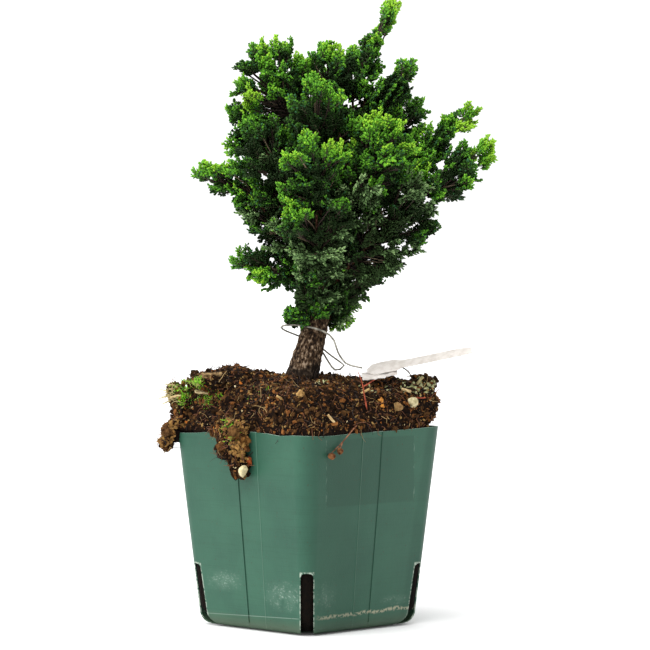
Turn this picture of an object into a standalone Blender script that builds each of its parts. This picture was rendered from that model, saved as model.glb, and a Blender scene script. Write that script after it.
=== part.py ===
"""A dwarf conifer in a square slit pot, in metres.

+X is to the right and +Y away from the front, +Z is up. The origin is the middle of the pot's flat underside,
and one corner of the pot points to the front.
"""

import math
import random
from collections import namedtuple

import bmesh
import bpy
from mathutils import Matrix, Vector, noise
from mathutils.bvhtree import BVHTree

MM = 0.001
GAP = 0.3 * MM
CLEAR = 0.5 * MM
GOLDEN_TURN = math.radians(137.5)
UP = Vector((0, 0, 1))

# Pot
POT_HEIGHT = 100 * MM
POT_HALF_TOP = 50.1 * MM
POT_HALF_BASE = 40.9 * MM
CORNER_TOP = 10.5 * MM
CORNER_BASE = 5.5 * MM
CORNER_LEAST = 2 * MM
WALL = 1.2 * MM
BOTTOM_ROUND = 7 * MM
CORNER_STEPS = 6
ROUND_STEPS = 4
SLOT_WIDTH = 6.4 * MM
SLOT_HEIGHT = 31.5 * MM
SLOT_FROM, SLOT_TO = 38 * MM, 75 * MM
SLOT_STEPS = 6
BELOW_FOOT = 5 * MM

# Root ball and the clumps that hang over the rim
BALL_TOP = 126 * MM
BALL_OVERHANG = 0.8 * MM
BALL_ROUGH, BALL_GRAIN = 5 * MM, 13 * MM
# Above the rim, and out past the pot's side
BALL_SHOULDER = (
    (1.5 * GAP, BALL_OVERHANG - 1.5 * MM),
    (5 * MM, BALL_OVERHANG),
    (12 * MM, BALL_OVERHANG - 1 * MM),
    (19 * MM, BALL_OVERHANG - 3 * MM),
    (23 * MM, BALL_OVERHANG - 8 * MM),
)
BALL_TOP_SHARES = (0.66, 0.42, 0.2)
WALL_CLEAR_FROM = 40 * MM
SEAT_RADIUS, SEAT_HEIGHT, SEAT_SIDES = 10.5 * MM, 12 * MM, 16
CLUMP_ROUGH, CLUMP_GRAIN = 0.35, 1.7
FRONT_FACE = math.radians(225)
LEFT_CORNER = math.radians(180)
Clump = namedtuple("Clump", "heading out sideways height half_wide half_thick half_tall")
CLUMPS = (
    Clump(FRONT_FACE, 53 * MM, -3 * MM, 102 * MM, 13 * MM, 7 * MM, 9 * MM),
    Clump(FRONT_FACE, 54 * MM, 0, 92 * MM, 10 * MM, 6 * MM, 9 * MM),
    Clump(FRONT_FACE, 53 * MM, 4 * MM, 83 * MM, 6.5 * MM, 5.5 * MM, 8 * MM),
    Clump(LEFT_CORNER, 65 * MM, -3 * MM, 111 * MM, 12 * MM, 9 * MM, 14 * MM),
    Clump(LEFT_CORNER, 70 * MM, 1 * MM, 97 * MM, 6 * MM, 5 * MM, 9 * MM),
    Clump(LEFT_CORNER, 42 * MM, 2 * MM, 124 * MM, 24 * MM, 22 * MM, 8 * MM),
    Clump(0, 58 * MM, 2 * MM, 120 * MM, 10 * MM, 7 * MM, 6 * MM),
)

# Trunk
TRUNK_X, TRUNK_Y = -4 * MM, -8 * MM
TRUNK_FOOT, TRUNK_TIP = 124.5 * MM, 272 * MM
LEAN_X, LEAN_Y = 0.225, 0.08
TRUNK_SWAY, SWAY_LENGTH, SWAY_BACK = 0.9 * MM, 19 * MM, 0.6
TRUNK_RADIUS, TIP_RADIUS = 7.2 * MM, 1.3 * MM
FLARE, FLARE_HEIGHT = 1.6 * MM, 5 * MM
TRUNK_SIDES, TRUNK_RINGS = 10, 14
KNOB, KNOBS_ROUND, KNOB_TWIST = 0.08, 3, 9 * MM
FOOT_RINGS = (0, 3 * MM, 9 * MM)

# Boughs: where each leaves the trunk (mm up), its heading and rise (degrees), how much of it is bare, how far
# it reaches (mm), half the width of the foliage on it (mm) and the twigs that carry the sprays
BOUGH_SIDES, BOUGH_RINGS = 6, 5
BOUGH_RADIUS, BOUGH_TIP = 2.2 * MM, 0.9 * MM
BOUGH_SAG = 0.1
Bough = namedtuple("Bough", "name leaves heading rise bare reach half_width twigs")
BOUGHS = (
    Bough("right_high_arm", 205, 10, 39.5, 46, 99, 9, 6),
    Bough("right_arm", 185, 359, 35, 34, 104, 18, 8),
    Bough("right_inner", 195, 18, 43, 18, 78, 20, 7),
    Bough("upper_right", 250, 345, 50, 8, 50, 14, 6),
    Bough("lower_right", 164, 355, 47, 16, 80, 24, 8),
    Bough("bottom_right", 152, 5, 42, 10, 57, 16, 7),
    Bough("lower_left_arm", 156, 171, 41, 16, 58, 9.5, 7),
    Bough("left_low", 170, 169, 51, 18, 63, 18, 7),
    Bough("left_arm", 205, 182, 20, 26, 78, 10.5, 7),
    Bough("left_high", 210, 171, 41, 28, 82, 16, 7),
    Bough("top_left", 222, 182, 59, 34, 93, 21, 8),
    Bough("top_centre", 232, 189, 71, 18, 74, 19, 7),
    Bough("top_right", 246, 94, 74, 8, 52, 17, 6),
    Bough("front_high", 214, 252, 54, 22, 74, 18, 7),
    Bough("front_middle", 190, 260, 46, 26, 77, 19, 7),
    Bough("front_right", 200, 310, 46, 22, 75, 20, 7),
    Bough("left_centre", 196, 200, 52, 20, 74, 20, 7),
    Bough("front_low", 164, 275, 56, 18, 71, 20, 7),
    Bough("low_front", 150, 257, 64, 8, 50, 16, 6),
    Bough("back_high", 218, 112, 52, 22, 81, 20, 7),
    Bough("back_middle", 198, 69, 41, 24, 84, 21, 8),
    Bough("back_left", 183, 123, 45, 24, 86, 21, 8),
    Bough("back_low", 158, 78, 47, 16, 70, 18, 7),
    Bough("back_right", 232, 48, 39, 14, 66, 18, 6),
)
# Masses that grow from the trunk itself: the leader on its tip and two small ones at its foot
LEADER = Bough("leader", TRUNK_TIP / MM, 20, 65, 0, 51.5, 10.5, 8)
LEADER_SHIFT = Vector((-4, 0, 1)) * MM
FOOT_MASSES = (
    Bough("bottom", 148, 33, 33, 8, 31, 9, 4),
    Bough("bottom_left", 152, 210, 22, 6, 23, 7, 4),
)

# Foliage
ENTRY = 0.86
CORE, CORE_ROUGH = 0.76, 0.45
CORE_LEAST = 2 * MM
CORE_EASE = 0.08
CORE_DRAWS = 24
TWIG_RADIUS = 0.8 * MM
TWIG_SIDES = 3
TWIG_REACH = 0.45
LOWEST_TWIG = -0.55
SPRAY_FAN = math.radians(26)
SPRAYS_PER_TWIG = 2
SPRAY_SHORTEST, SPRAY_LONGEST = 5 * MM, 18 * MM
SPRAY_WIDTH, SPRAY_THICKNESS, SPRAY_BELLY = 0.78, 0.42, 0.6
SPRAY_DEPTHS = (0.94, 1.03)
SPRAY_SHARES = (1, 0.8, 0.62)
SPRAY_EASE = 0.06
SPACE_MARGIN, SPACE_REACH = 0.03, 1.04
STEM_END = 0.4
FURTHEST = 60 * MM

# Plant label and its wire
LABEL_X, LABEL_Y = 35 * MM, -14 * MM
LABEL_RISE, LABEL_TILT = math.radians(10), math.radians(48)
LABEL_HEAD, LABEL_HEAD_WIDTH = 27 * MM, 12 * MM
LABEL_STRIP, LABEL_STRIP_WIDTH = 37 * MM, 5 * MM
LABEL_THICK = 0.7 * MM
LABEL_CORNER, LABEL_NECK = 2 * MM, 3 * MM
WIRE_RADIUS = 0.5 * MM
WIRE_POINTS = 38


def clear_scene():
    for obj in list(bpy.data.objects):
        bpy.data.objects.remove(obj, do_unlink=True)


def material(name, colour, roughness, metallic=0.0):
    made = bpy.data.materials.new(name)
    made.use_nodes = True
    shader = made.node_tree.nodes["Principled BSDF"]
    shader.inputs["Base Color"].default_value = (*colour, 1)
    shader.inputs["Roughness"].default_value = roughness
    shader.inputs["Metallic"].default_value = metallic
    return made


def solid(name, points, faces, finish=None, collection=None):
    """A closed mesh object with its faces turned out."""
    mesh = bpy.data.meshes.new(name)
    mesh.from_pydata([tuple(p) for p in points], [], faces)
    shape = bmesh.new()
    shape.from_mesh(mesh)
    bmesh.ops.recalc_face_normals(shape, faces=shape.faces)
    shape.to_mesh(mesh)
    shape.free()
    obj = bpy.data.objects.new(name, mesh)
    (collection or bpy.context.scene.collection).objects.link(obj)
    if finish:
        mesh.materials.append(finish)
    return obj


def shade_round(obj, angle=40):
    obj.data.shade_smooth()
    obj.data.set_sharp_from_angle(angle=math.radians(angle))


def loft(rings):
    """Points and faces of a closed skin over rings of equal count, with flat ends."""
    count = len(rings[0])
    points = [p for ring in rings for p in ring]
    faces = []
    for level in range(len(rings) - 1):
        for i in range(count):
            j = (i + 1) % count
            low, high = level * count, (level + 1) * count
            faces.append((low + i, low + j, high + j, high + i))
    faces.append(tuple(range(count))[::-1])
    faces.append(tuple(range(len(points) - count, len(points))))
    return points, faces


def tube(path, radii, sides):
    """Points and faces of a tapering limb along the path, with flat ends."""
    rings = []
    side = path[1] - path[0]
    side = side.orthogonal().normalized()
    for i, centre in enumerate(path):
        along = (path[min(i + 1, len(path) - 1)] - path[max(i - 1, 0)]).normalized()
        side = (side - along * side.dot(along)).normalized()
        other = along.cross(side)
        turns = [2 * math.pi * k / sides for k in range(sides)]
        rings.append([centre + radii[i] * (math.cos(t) * side + math.sin(t) * other) for t in turns])
    return loft(rings)


def tree_of(points, faces):
    return BVHTree.FromPolygons([tuple(p) for p in points], faces)


def boolean(obj, operation, other=None, collection=None, solver="EXACT"):
    modifier = obj.modifiers.new(operation.lower(), "BOOLEAN")
    modifier.operation = operation
    modifier.solver = solver
    if collection:
        modifier.operand_type = "COLLECTION"
        modifier.collection = collection
    else:
        modifier.object = other


def apply_modifiers(obj):
    graph = bpy.context.evaluated_depsgraph_get()
    mesh = bpy.data.meshes.new_from_object(obj.evaluated_get(graph))
    finishes = [slot for slot in obj.data.materials]
    obj.modifiers.clear()
    obj.data = mesh
    mesh.materials.clear()
    for finish in finishes[:1]:
        mesh.materials.append(finish)


def helper_collection(name):
    made = bpy.data.collections.new(name)
    bpy.context.scene.collection.children.link(made)
    return made


def empty_out(collection):
    for obj in list(collection.objects):
        bpy.data.objects.remove(obj, do_unlink=True)
    bpy.data.collections.remove(collection)


def corner_ring(half, corner, z):
    """A rounded square with a corner to the front, back and each side."""
    ring = []
    reach = (half - corner) * math.sqrt(2)
    for quarter in range(4):
        heading = math.radians(90 * quarter)
        centre = Vector((reach * math.cos(heading), reach * math.sin(heading), z))
        for step in range(CORNER_STEPS + 1):
            turn = heading + math.radians(90 * step / CORNER_STEPS - 45)
            ring.append(centre + corner * Vector((math.cos(turn), math.sin(turn), 0)))
    return ring


def pot_half(z):
    """Half the pot's outer width at a height above its rounded foot."""
    share = (z - BOTTOM_ROUND) / (POT_HEIGHT - BOTTOM_ROUND)
    return POT_HALF_BASE + share * (POT_HALF_TOP - POT_HALF_BASE)


def pot_corner(z):
    share = (z - BOTTOM_ROUND) / (POT_HEIGHT - BOTTOM_ROUND)
    return CORNER_BASE + share * (CORNER_TOP - CORNER_BASE)


def foot_rings(inset):
    """The rounded foot, as rings from the flat underside up, drawn in by inset on every side."""
    radius = BOTTOM_ROUND - inset
    rings = []
    for step in range(ROUND_STEPS + 1):
        turn = math.radians(90 * step / ROUND_STEPS)
        draw_in = radius * (1 - math.sin(turn)) + inset
        z = BOTTOM_ROUND - radius * math.cos(turn)
        corner = max(CORNER_BASE - draw_in, CORNER_LEAST - inset)
        rings.append(corner_ring(POT_HALF_BASE - draw_in, corner, z))
    return rings


def slot_cutter(heading, collection):
    """A round-topped slot at one corner, which runs on under the foot."""
    half = SLOT_WIDTH / 2
    outline = [(-half, -BELOW_FOOT), (half, -BELOW_FOOT)]
    for step in range(SLOT_STEPS + 1):
        turn = math.pi * step / SLOT_STEPS
        outline.append((half * math.cos(turn), SLOT_HEIGHT - half + half * math.sin(turn)))
    out = Vector((math.cos(heading), math.sin(heading), 0))
    across = Vector((-math.sin(heading), math.cos(heading), 0))
    rings = [[out * reach + across * a + UP * z for a, z in outline] for reach in (SLOT_FROM, SLOT_TO)]
    cutter = solid("slot_cutter", *loft(rings), collection=collection)
    cutter.hide_render = True
    cutter.display_type = "WIRE"


def build_pot():
    rings = foot_rings(0)
    rings.append(corner_ring(POT_HALF_TOP, CORNER_TOP, POT_HEIGHT))
    rings.append(corner_ring(POT_HALF_TOP - WALL, CORNER_TOP - WALL, POT_HEIGHT))
    rings += foot_rings(WALL)[::-1]
    pot = solid("pot", *loft(rings), material("green_polypropylene", (0.08, 0.19, 0.13), 0.42))
    cutters = helper_collection("slot_cutters")
    for quarter in range(4):
        slot_cutter(math.radians(90 * quarter), cutters)
    boolean(pot, "DIFFERENCE", collection=cutters)
    shade_round(pot)


def rough(point, size, scale):
    return size * noise.noise(Vector(point) / scale)


def ball_rings():
    """The root ball: it fills the pot, swells over the rim and ends in an uneven, nearly flat top."""
    inset = WALL + GAP
    low = POT_HALF_BASE - inset - BOTTOM_ROUND + 1 * MM
    rings = [corner_ring(low, CORNER_LEAST, inset)]
    for z in (BOTTOM_ROUND + 1.5 * MM, POT_HEIGHT + 1.2 * GAP):
        half = min(pot_half(z), POT_HALF_TOP) - inset
        rings.append(corner_ring(half, pot_corner(min(z, POT_HEIGHT)) - inset, z))
    for level, (rise, out) in enumerate(BALL_SHOULDER):
        ring = corner_ring(POT_HALF_TOP + out, CORNER_TOP, POT_HEIGHT + rise)
        for i, point in enumerate(ring):
            away = Vector((point.x, point.y, 0)).normalized()
            ring[i] = point + away * rough(point, BALL_ROUGH, BALL_GRAIN)
            if level > 1:
                ring[i].z += rough(point + away * MM, 0.6 * BALL_ROUGH, BALL_GRAIN)
        rings.append(ring)
    for share in BALL_TOP_SHARES:
        ring = corner_ring(POT_HALF_TOP * share, CORNER_TOP * share, BALL_TOP)
        for i, point in enumerate(ring):
            ring[i] = point + UP * rough(point, BALL_ROUGH, BALL_GRAIN)
        rings.append(ring)
    return rings


def clump_solid(clump, collection):
    out = Vector((math.cos(clump.heading), math.sin(clump.heading), 0))
    across = Vector((-out.y, out.x, 0))
    shape = bmesh.new()
    bmesh.ops.create_icosphere(shape, subdivisions=2, radius=1)
    points = []
    centre = out * clump.out + across * clump.sideways + UP * clump.height
    for vertex in shape.verts:
        push = 1 + CLUMP_ROUGH * noise.noise(vertex.co * CLUMP_GRAIN + centre / BALL_GRAIN)
        x, y, z = vertex.co * push
        level = out * clump.half_thick * x + across * clump.half_wide * y
        points.append(centre + level + UP * clump.half_tall * z)
    faces = [tuple(v.index for v in face.verts) for face in shape.faces]
    shape.free()
    solid("clump", points, faces, collection=collection)


def wall_clearance(collection):
    """The pot's wall with the clearance the soil keeps to it."""
    low, high = WALL_CLEAR_FROM, POT_HEIGHT + GAP
    rings = []
    for inset, heights in ((-GAP, (low, high)), (WALL + GAP, (high, low))):
        for z in heights:
            level = min(z, POT_HEIGHT)
            rings.append(corner_ring(pot_half(level) - inset, pot_corner(level) - inset, z))
    points, faces = loft(rings)
    count = len(rings[0])
    faces = faces[:-2]
    last = len(points) - count
    for i in range(count):
        j = (i + 1) % count
        faces.append((last + i, last + j, j, i))
    solid("wall_clearance", points, faces, collection=collection)


def build_soil():
    soil = solid("soil", *loft(ball_rings()), material("peat_soil", (0.05, 0.03, 0.018), 0.95))
    clumps = helper_collection("clumps")
    for clump in CLUMPS:
        clump_solid(clump, clumps)
    cutters = helper_collection("soil_cutters")
    wall_clearance(cutters)
    middle = trunk_point(TRUNK_FOOT)
    turns = [2 * math.pi * k / SEAT_SIDES for k in range(SEAT_SIDES)]
    rim = [SEAT_RADIUS * Vector((math.cos(turn), math.sin(turn), 0)) for turn in turns]
    heights = (-GAP, SEAT_HEIGHT)
    solid("seat_cutter", *loft([[middle + p + UP * z for p in rim] for z in heights]), collection=cutters)
    boolean(soil, "UNION", collection=clumps)
    boolean(soil, "DIFFERENCE", collection=cutters)
    apply_modifiers(soil)
    empty_out(clumps)
    empty_out(cutters)
    keep_largest(soil)
    shade_round(soil)
    return soil


def trunk_point(z):
    up = z - TRUNK_FOOT
    sway = TRUNK_SWAY * math.sin(up / SWAY_LENGTH)
    return Vector((TRUNK_X + LEAN_X * up + sway, TRUNK_Y + LEAN_Y * up + SWAY_BACK * sway, z))


def trunk_radius(z):
    up = z - TRUNK_FOOT
    share = min(up / (TRUNK_TIP - TRUNK_FOOT), 1)
    return TIP_RADIUS + (TRUNK_RADIUS - TIP_RADIUS) * (1 - share) + FLARE * math.exp(-up / FLARE_HEIGHT)


def trunk_heights():
    near_foot = [TRUNK_FOOT + z for z in FOOT_RINGS]
    rest = TRUNK_RINGS - len(near_foot)
    return near_foot + [near_foot[-1] + (TRUNK_TIP - near_foot[-1]) * (i + 1) / rest for i in range(rest)]


def trunk_skin(extra=0.0):
    """The trunk as points and faces, level at its foot, grown outward by extra."""
    rings = []
    for z in trunk_heights():
        centre, radius = trunk_point(z), trunk_radius(z) + extra
        ring = []
        for k in range(TRUNK_SIDES):
            turn = 2 * math.pi * k / TRUNK_SIDES
            knob = 1 if extra else math.sin(KNOBS_ROUND * turn + z / KNOB_TWIST)
            ring.append(centre + radius * (1 + KNOB * knob) * Vector((math.cos(turn), math.sin(turn), 0)))
        rings.append(ring)
    return loft(rings)


def build_trunk():
    trunk = solid("trunk", *trunk_skin(), material("grey_brown_bark", (0.075, 0.052, 0.037), 0.9))
    shade_round(trunk)


Mass = namedtuple("Mass", "name centre axis half_length half_width base twigs")
Limb = namedtuple("Limb", "points faces tree")


def direction(heading, rise):
    turn, lift = math.radians(heading), math.radians(rise)
    return Vector((math.cos(lift) * math.cos(turn), math.cos(lift) * math.sin(turn), math.sin(lift)))


def mass_of(bough):
    """The space a bough's foliage keeps to: an ellipsoid along the line from the trunk."""
    axis = direction(bough.heading, bough.rise)
    length = (bough.reach - bough.bare) / 2 * MM
    centre = trunk_point(bough.leaves * MM) + axis * (bough.reach * MM - length)
    base = centre - axis * ENTRY * length
    return Mass(bough.name, centre, axis, length, bough.half_width * MM, base, bough.twigs)


def mass_on_trunk(bough):
    """A mass whose stem starts just clear of the trunk's own surface."""
    mass = mass_of(bough)
    base = trunk_point(bough.leaves * MM)
    if bough is LEADER:
        return mass._replace(base=base, centre=mass.centre + LEADER_SHIFT)
    while (base - trunk_point(base.z)).length < (1 + KNOB) * trunk_radius(base.z) + 2 * CLEAR:
        base = base + mass.axis * GAP
    return mass._replace(base=base)


def bough_path(bough, mass):
    """From the trunk's middle to the mass's near end, sagging a little between."""
    start = trunk_point(bough.leaves * MM)
    middle = (start + mass.base) / 2 - UP * BOUGH_SAG * (mass.base - start).length
    path = []
    for i in range(BOUGH_RINGS):
        t = i / (BOUGH_RINGS - 1)
        path.append(start * (1 - t) ** 2 + middle * 2 * t * (1 - t) + mass.base * t * t)
    return path


def bough_radii(bough):
    thick = min(BOUGH_RADIUS, 0.6 * trunk_radius(bough.leaves * MM))
    return [thick + (BOUGH_TIP - thick) * i / (BOUGH_RINGS - 1) for i in range(BOUGH_RINGS)]


def build_bough(bough, mass, bark):
    points, faces = tube(bough_path(bough, mass), bough_radii(bough), BOUGH_SIDES)
    obj = solid("bough_" + bough.name, points, faces, bark)
    cutters = helper_collection("trunk_clearance")
    solid("trunk_cutter", *trunk_skin(GAP), collection=cutters)
    boolean(obj, "DIFFERENCE", collection=cutters)
    apply_modifiers(obj)
    empty_out(cutters)
    keep_largest(obj)
    shade_round(obj)


def depth_in(mass, point):
    """0 at the middle of a mass's space and 1 on its surface."""
    local = point - mass.centre
    along = local.dot(mass.axis)
    across = (local - mass.axis * along).length
    return math.hypot(along / mass.half_length, across / mass.half_width)


def in_own_space(mass, masses, point):
    own = depth_in(mass, point)
    if own > SPACE_REACH:
        return False
    if any(depth_in(other, point) < own + SPACE_MARGIN for other in masses if other is not mass):
        return False
    return (point - trunk_point(point.z)).length > (1 + KNOB) * trunk_radius(point.z) + CLEAR


def touches(points, faces, trees):
    middle = sum(points, Vector()) / len(points)
    grown = [middle + (p - middle) * (1 + SPRAY_EASE) for p in points]
    tree = tree_of(grown, faces)
    return any(tree.overlap(other) for other in trees)


def spray(root, tip, side):
    """One spray of foliage: a flat eight-faced club, widest past its middle."""
    along = tip - root
    length = along.length
    side = (side - along * side.dot(along) / length**2).normalized()
    flat = along.cross(side).normalized()
    belly = root + along * SPRAY_BELLY
    width, thick = SPRAY_WIDTH * length / 2, SPRAY_THICKNESS * length / 2
    points = [root, tip, belly + side * width, belly + flat * thick, belly - side * width, belly - flat * thick]
    faces = []
    for k in range(4):
        a, b = 2 + k, 2 + (k + 1) % 4
        faces += [(0, b, a), (1, a, b)]
    return points, faces


def reach_in(mass, start, way, depth):
    """How far along way a point keeps within that depth of the mass's space."""
    low, high = 0.0, FURTHEST
    for _ in range(16):
        middle = (low + high) / 2
        if depth_in(mass, start + way * middle) < depth:
            low = middle
        else:
            high = middle
    return low


def drawn_in(centre, arms, faces, others):
    """The points of a star-shaped skin, its arms shortened wherever it met one of the others."""
    for _ in range(CORE_DRAWS):
        tree = tree_of([centre + arm * (1 + CORE_EASE) for arm in arms], faces)
        met = {index for other in others for index, _ in tree.overlap(other)}
        for corner in {corner for index in met for corner in faces[index]}:
            arms[corner] = arms[corner] * (1 - CORE_EASE)
        if not met:
            break
    return [centre + arm for arm in arms]


def core_solid(mass, limbs, others, masses, collection):
    """The dense middle of a mass: it swells until it nears a neighbour's space, and is cut clear of the limbs."""
    shape = bmesh.new()
    bmesh.ops.create_icosphere(shape, subdivisions=2, radius=1)
    units = [v.co.copy() for v in shape.verts]
    faces = [tuple(v.index for v in face.verts) for face in shape.faces]
    shape.free()
    side = mass.axis.orthogonal().normalized()
    other = mass.axis.cross(side)
    arms = []
    for unit in units:
        push = CORE * (1 + CORE_ROUGH * noise.noise(unit * CLUMP_GRAIN + mass.centre / BALL_GRAIN))
        across = (side * unit.x + other * unit.y) * mass.half_width
        arm = (mass.axis * unit.z * mass.half_length + across) * push
        while arm.length > CORE_LEAST and not in_own_space(mass, masses, mass.centre + arm):
            arm = arm * (1 - CORE_EASE)
        arms.append(arm)
    points = drawn_in(mass.centre, arms, faces, others)
    core = solid("core", points, faces, collection=collection)
    crossing = [limb for limb in limbs if touches(points, faces, [limb.tree])]
    if crossing:
        cutters = helper_collection("limb_clearance")
        for limb in crossing:
            solid("limb_cutter", limb.points, limb.faces, collection=cutters)
        boolean(core, "DIFFERENCE", collection=cutters)
        apply_modifiers(core)
        empty_out(cutters)
        keep_largest(core)


def stem_of(mass):
    return mass.base + mass.axis * GAP, mass.centre + mass.axis * STEM_END * mass.half_length


def twig_lines(mass, draw):
    """Root and way of each twig: spread evenly round the stem by the golden angle, from its foot to its tip."""
    start, end = stem_of(mass)
    side = mass.axis.orthogonal().normalized()
    other = mass.axis.cross(side)
    first_turn = draw.uniform(0, 2 * math.pi)
    lines = []
    for k in range(mass.twigs):
        along = 1 - (1 - LOWEST_TWIG) * (k + 0.3) / mass.twigs
        turn = first_turn + k * GOLDEN_TURN
        out = side * math.cos(turn) + other * math.sin(turn)
        goal = out * math.sqrt(1 - along * along) * mass.half_width + mass.axis * along * mass.half_length
        root = start.lerp(end, 0.5 + 0.45 * along)
        lines.append((root, (mass.centre + goal - root).normalized()))
    return lines


def grow_spray(mass, masses, trees, root, way, draw, collection):
    """One spray out to the edge of the mass's space, shorter where something is in its way."""
    fan = (Matrix.Rotation(draw.uniform(0, math.pi), 3, way) @ way.orthogonal()).normalized()
    full = min(reach_in(mass, root, way, draw.uniform(*SPRAY_DEPTHS)), SPRAY_LONGEST)
    for share in SPRAY_SHARES:
        if full * share < SPRAY_SHORTEST:
            return
        blade = spray(root, root + way * full * share, fan)
        if all(in_own_space(mass, masses, p) for p in blade[0]) and not touches(*blade, trees):
            solid("spray", *blade, collection=collection)
            return


def grow_mass(mass, masses, limbs, others, finish):
    """Twigs by a seeded rule from one stem, with sprays on each, round a smaller core, all joined."""
    trees = [limb.tree for limb in limbs] + others
    draw = random.Random(mass.name)
    parts = helper_collection("growing")
    points, faces = tube(stem_of(mass), [BOUGH_TIP, TWIG_RADIUS], 4)
    joined = solid("foliage_" + mass.name, points, faces, finish)
    core_solid(mass, limbs, others, masses, parts)
    for root, way in twig_lines(mass, draw):
        end = root + way * max(reach_in(mass, root, way, TWIG_REACH), 1.5 * MM)
        points, faces = tube([root, end], [TWIG_RADIUS, 0.8 * TWIG_RADIUS], TWIG_SIDES)
        if not in_own_space(mass, masses, end) or touches(points, faces, trees):
            continue
        solid("twig", points, faces, collection=parts)
        turn_axis = (Matrix.Rotation(draw.uniform(0, math.pi), 3, way) @ way.orthogonal()).normalized()
        for number in range(SPRAYS_PER_TWIG):
            turn = SPRAY_FAN * (2 * number - SPRAYS_PER_TWIG + 1) + draw.uniform(-0.15, 0.15)
            spray_way = Matrix.Rotation(turn, 3, turn_axis) @ way
            grow_spray(mass, masses, trees, end - spray_way * TWIG_RADIUS, spray_way, draw, parts)
    boolean(joined, "UNION", collection=parts)
    apply_modifiers(joined)
    empty_out(parts)
    keep_largest(joined)
    return joined


def keep_largest(obj):
    """Drops loose scraps, and the skins of any hollow that joining has sealed."""
    shape = bmesh.new()
    shape.from_mesh(obj.data)
    waiting = set(shape.verts)
    groups = []
    while waiting:
        group, front = set(), [waiting.pop()]
        while front:
            vertex = front.pop()
            group.add(vertex)
            for edge in vertex.link_edges:
                other = edge.other_vert(vertex)
                if other in waiting:
                    waiting.remove(other)
                    front.append(other)
        groups.append(group)
    groups.sort(key=len)
    loose = [vertex for group in groups[:-1] for vertex in group]
    bmesh.ops.delete(shape, geom=loose, context="VERTS")
    shape.to_mesh(obj.data)
    shape.free()


def label_outline():
    """Half-outline points of the label, head first: a broad head, then a narrow strip with a cut tip."""
    head, strip = LABEL_HEAD_WIDTH / 2, LABEL_STRIP_WIDTH / 2
    end = LABEL_HEAD + LABEL_STRIP
    upper = [(0, head - LABEL_CORNER), (LABEL_CORNER, head), (LABEL_HEAD - LABEL_NECK, head)]
    upper += [(LABEL_HEAD, strip), (end - LABEL_NECK, strip), (end, 0.4 * strip)]
    return upper + [(x, -y) for x, y in upper[::-1]]


def build_label(soil):
    """The label lies with its head's lower edge on the soil and its strip out past the rim."""
    turn = Matrix.Rotation(-LABEL_RISE, 3, "Y") @ Matrix.Rotation(LABEL_TILT, 3, "X")
    outline = [(x - LABEL_HEAD / 2, y) for x, y in label_outline()]
    rings = [[turn @ Vector((x, y, z)) for x, y in outline] for z in (0, LABEL_THICK)]
    points, faces = loft(rings)
    place = Vector((LABEL_X, LABEL_Y, 0))
    points = [p + place for p in points]
    ground = tree_of([v.co for v in soil.data.vertices], [tuple(p.vertices) for p in soil.data.polygons])
    lift = -POT_HEIGHT
    high = 2 * POT_HEIGHT
    for i, a in enumerate(points):
        b = points[(i + 1) % len(points)]
        for share in (0, 0.25, 0.5, 0.75):
            p = a + (b - a) * share
            hit = ground.ray_cast(Vector((p.x, p.y, high)), -UP)[0]
            if hit:
                lift = max(lift, hit.z - p.z)
    lift += 2 * GAP
    finish = material("white_plastic", (0.86, 0.84, 0.8), 0.4)
    solid("label", [p + UP * lift for p in points], faces, finish)


def smooth_path(route, count):
    """Evenly spaced points on one smooth curve through the route."""
    fine = []
    ends = [route[0] * 2 - route[1]] + route + [route[-1] * 2 - route[-2]]
    for i in range(1, len(ends) - 2):
        a, b, c, d = ends[i - 1 : i + 3]
        for step in range(12):
            t = step / 12
            square, cube = 2 * a - 5 * b + 4 * c - d, 3 * b - a - 3 * c + d
            fine.append(0.5 * (2 * b + (c - a) * t + square * t * t + cube * t**3))
    fine.append(route[-1])
    lengths = [0.0]
    for a, b in zip(fine, fine[1:]):
        lengths.append(lengths[-1] + (b - a).length)
    path, place = [], 0
    for i in range(count):
        wanted = lengths[-1] * i / (count - 1)
        while place < len(fine) - 2 and lengths[place + 1] < wanted:
            place += 1
        share = (wanted - lengths[place]) / (lengths[place + 1] - lengths[place])
        path.append(fine[place].lerp(fine[place + 1], min(share, 1)))
    return path


# The wire leaves the label's head, goes round the trunk under the crown, and comes back to its own start
WIRE_ROUTE_MM = (
    (27.6, -17.2, 131.6), (24.5, -15.5, 132.2), (20.5, -13.0, 133.2), (18.2, -12.2, 135.0),
    (15.4, -12.6, 139.5), (13.4, -13.2, 145.5), (9.6, -13.6, 149.2), (3.5, -14.4, 151.6),
    (-3.0, -14.6, 152.8), (-9.0, -12.6, 153.2), (-13.2, -8.6, 152.4), (-12.0, -3.0, 150.4),
    (-5.5, 1.8, 147.6), (1.5, 3.6, 144.6), (7.5, 1.0, 140.8), (12.0, -4.0, 137.4),
    (17.0, -9.4, 134.0), (18.6, -10.4, 132.4), (16.6, -9.6, 130.6), (13.6, -7.0, 130.4),
    (10.8, -3.0, 134.0), (7.9, 0.6, 138.6),
)


def build_wire():
    route = [Vector(p) * MM for p in WIRE_ROUTE_MM]
    curve = bpy.data.curves.new("label_wire", "CURVE")
    curve.dimensions = "3D"
    curve.bevel_depth = WIRE_RADIUS
    curve.bevel_resolution = 1
    curve.use_fill_caps = True
    path = smooth_path(route, WIRE_POINTS)
    spline = curve.splines.new("POLY")
    spline.points.add(len(path) - 1)
    for point, place in zip(spline.points, path):
        point.co = (*place, 1)
    curve.materials.append(material("grey_coated_wire", (0.35, 0.33, 0.28), 0.5))
    obj = bpy.data.objects.new("label_wire", curve)
    bpy.context.scene.collection.objects.link(obj)
    return path


def limb_clearance(path, radii):
    points, faces = tube(path, [r + CLEAR for r in radii], BOUGH_SIDES)
    return Limb(points, faces, tree_of(points, faces))


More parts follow.
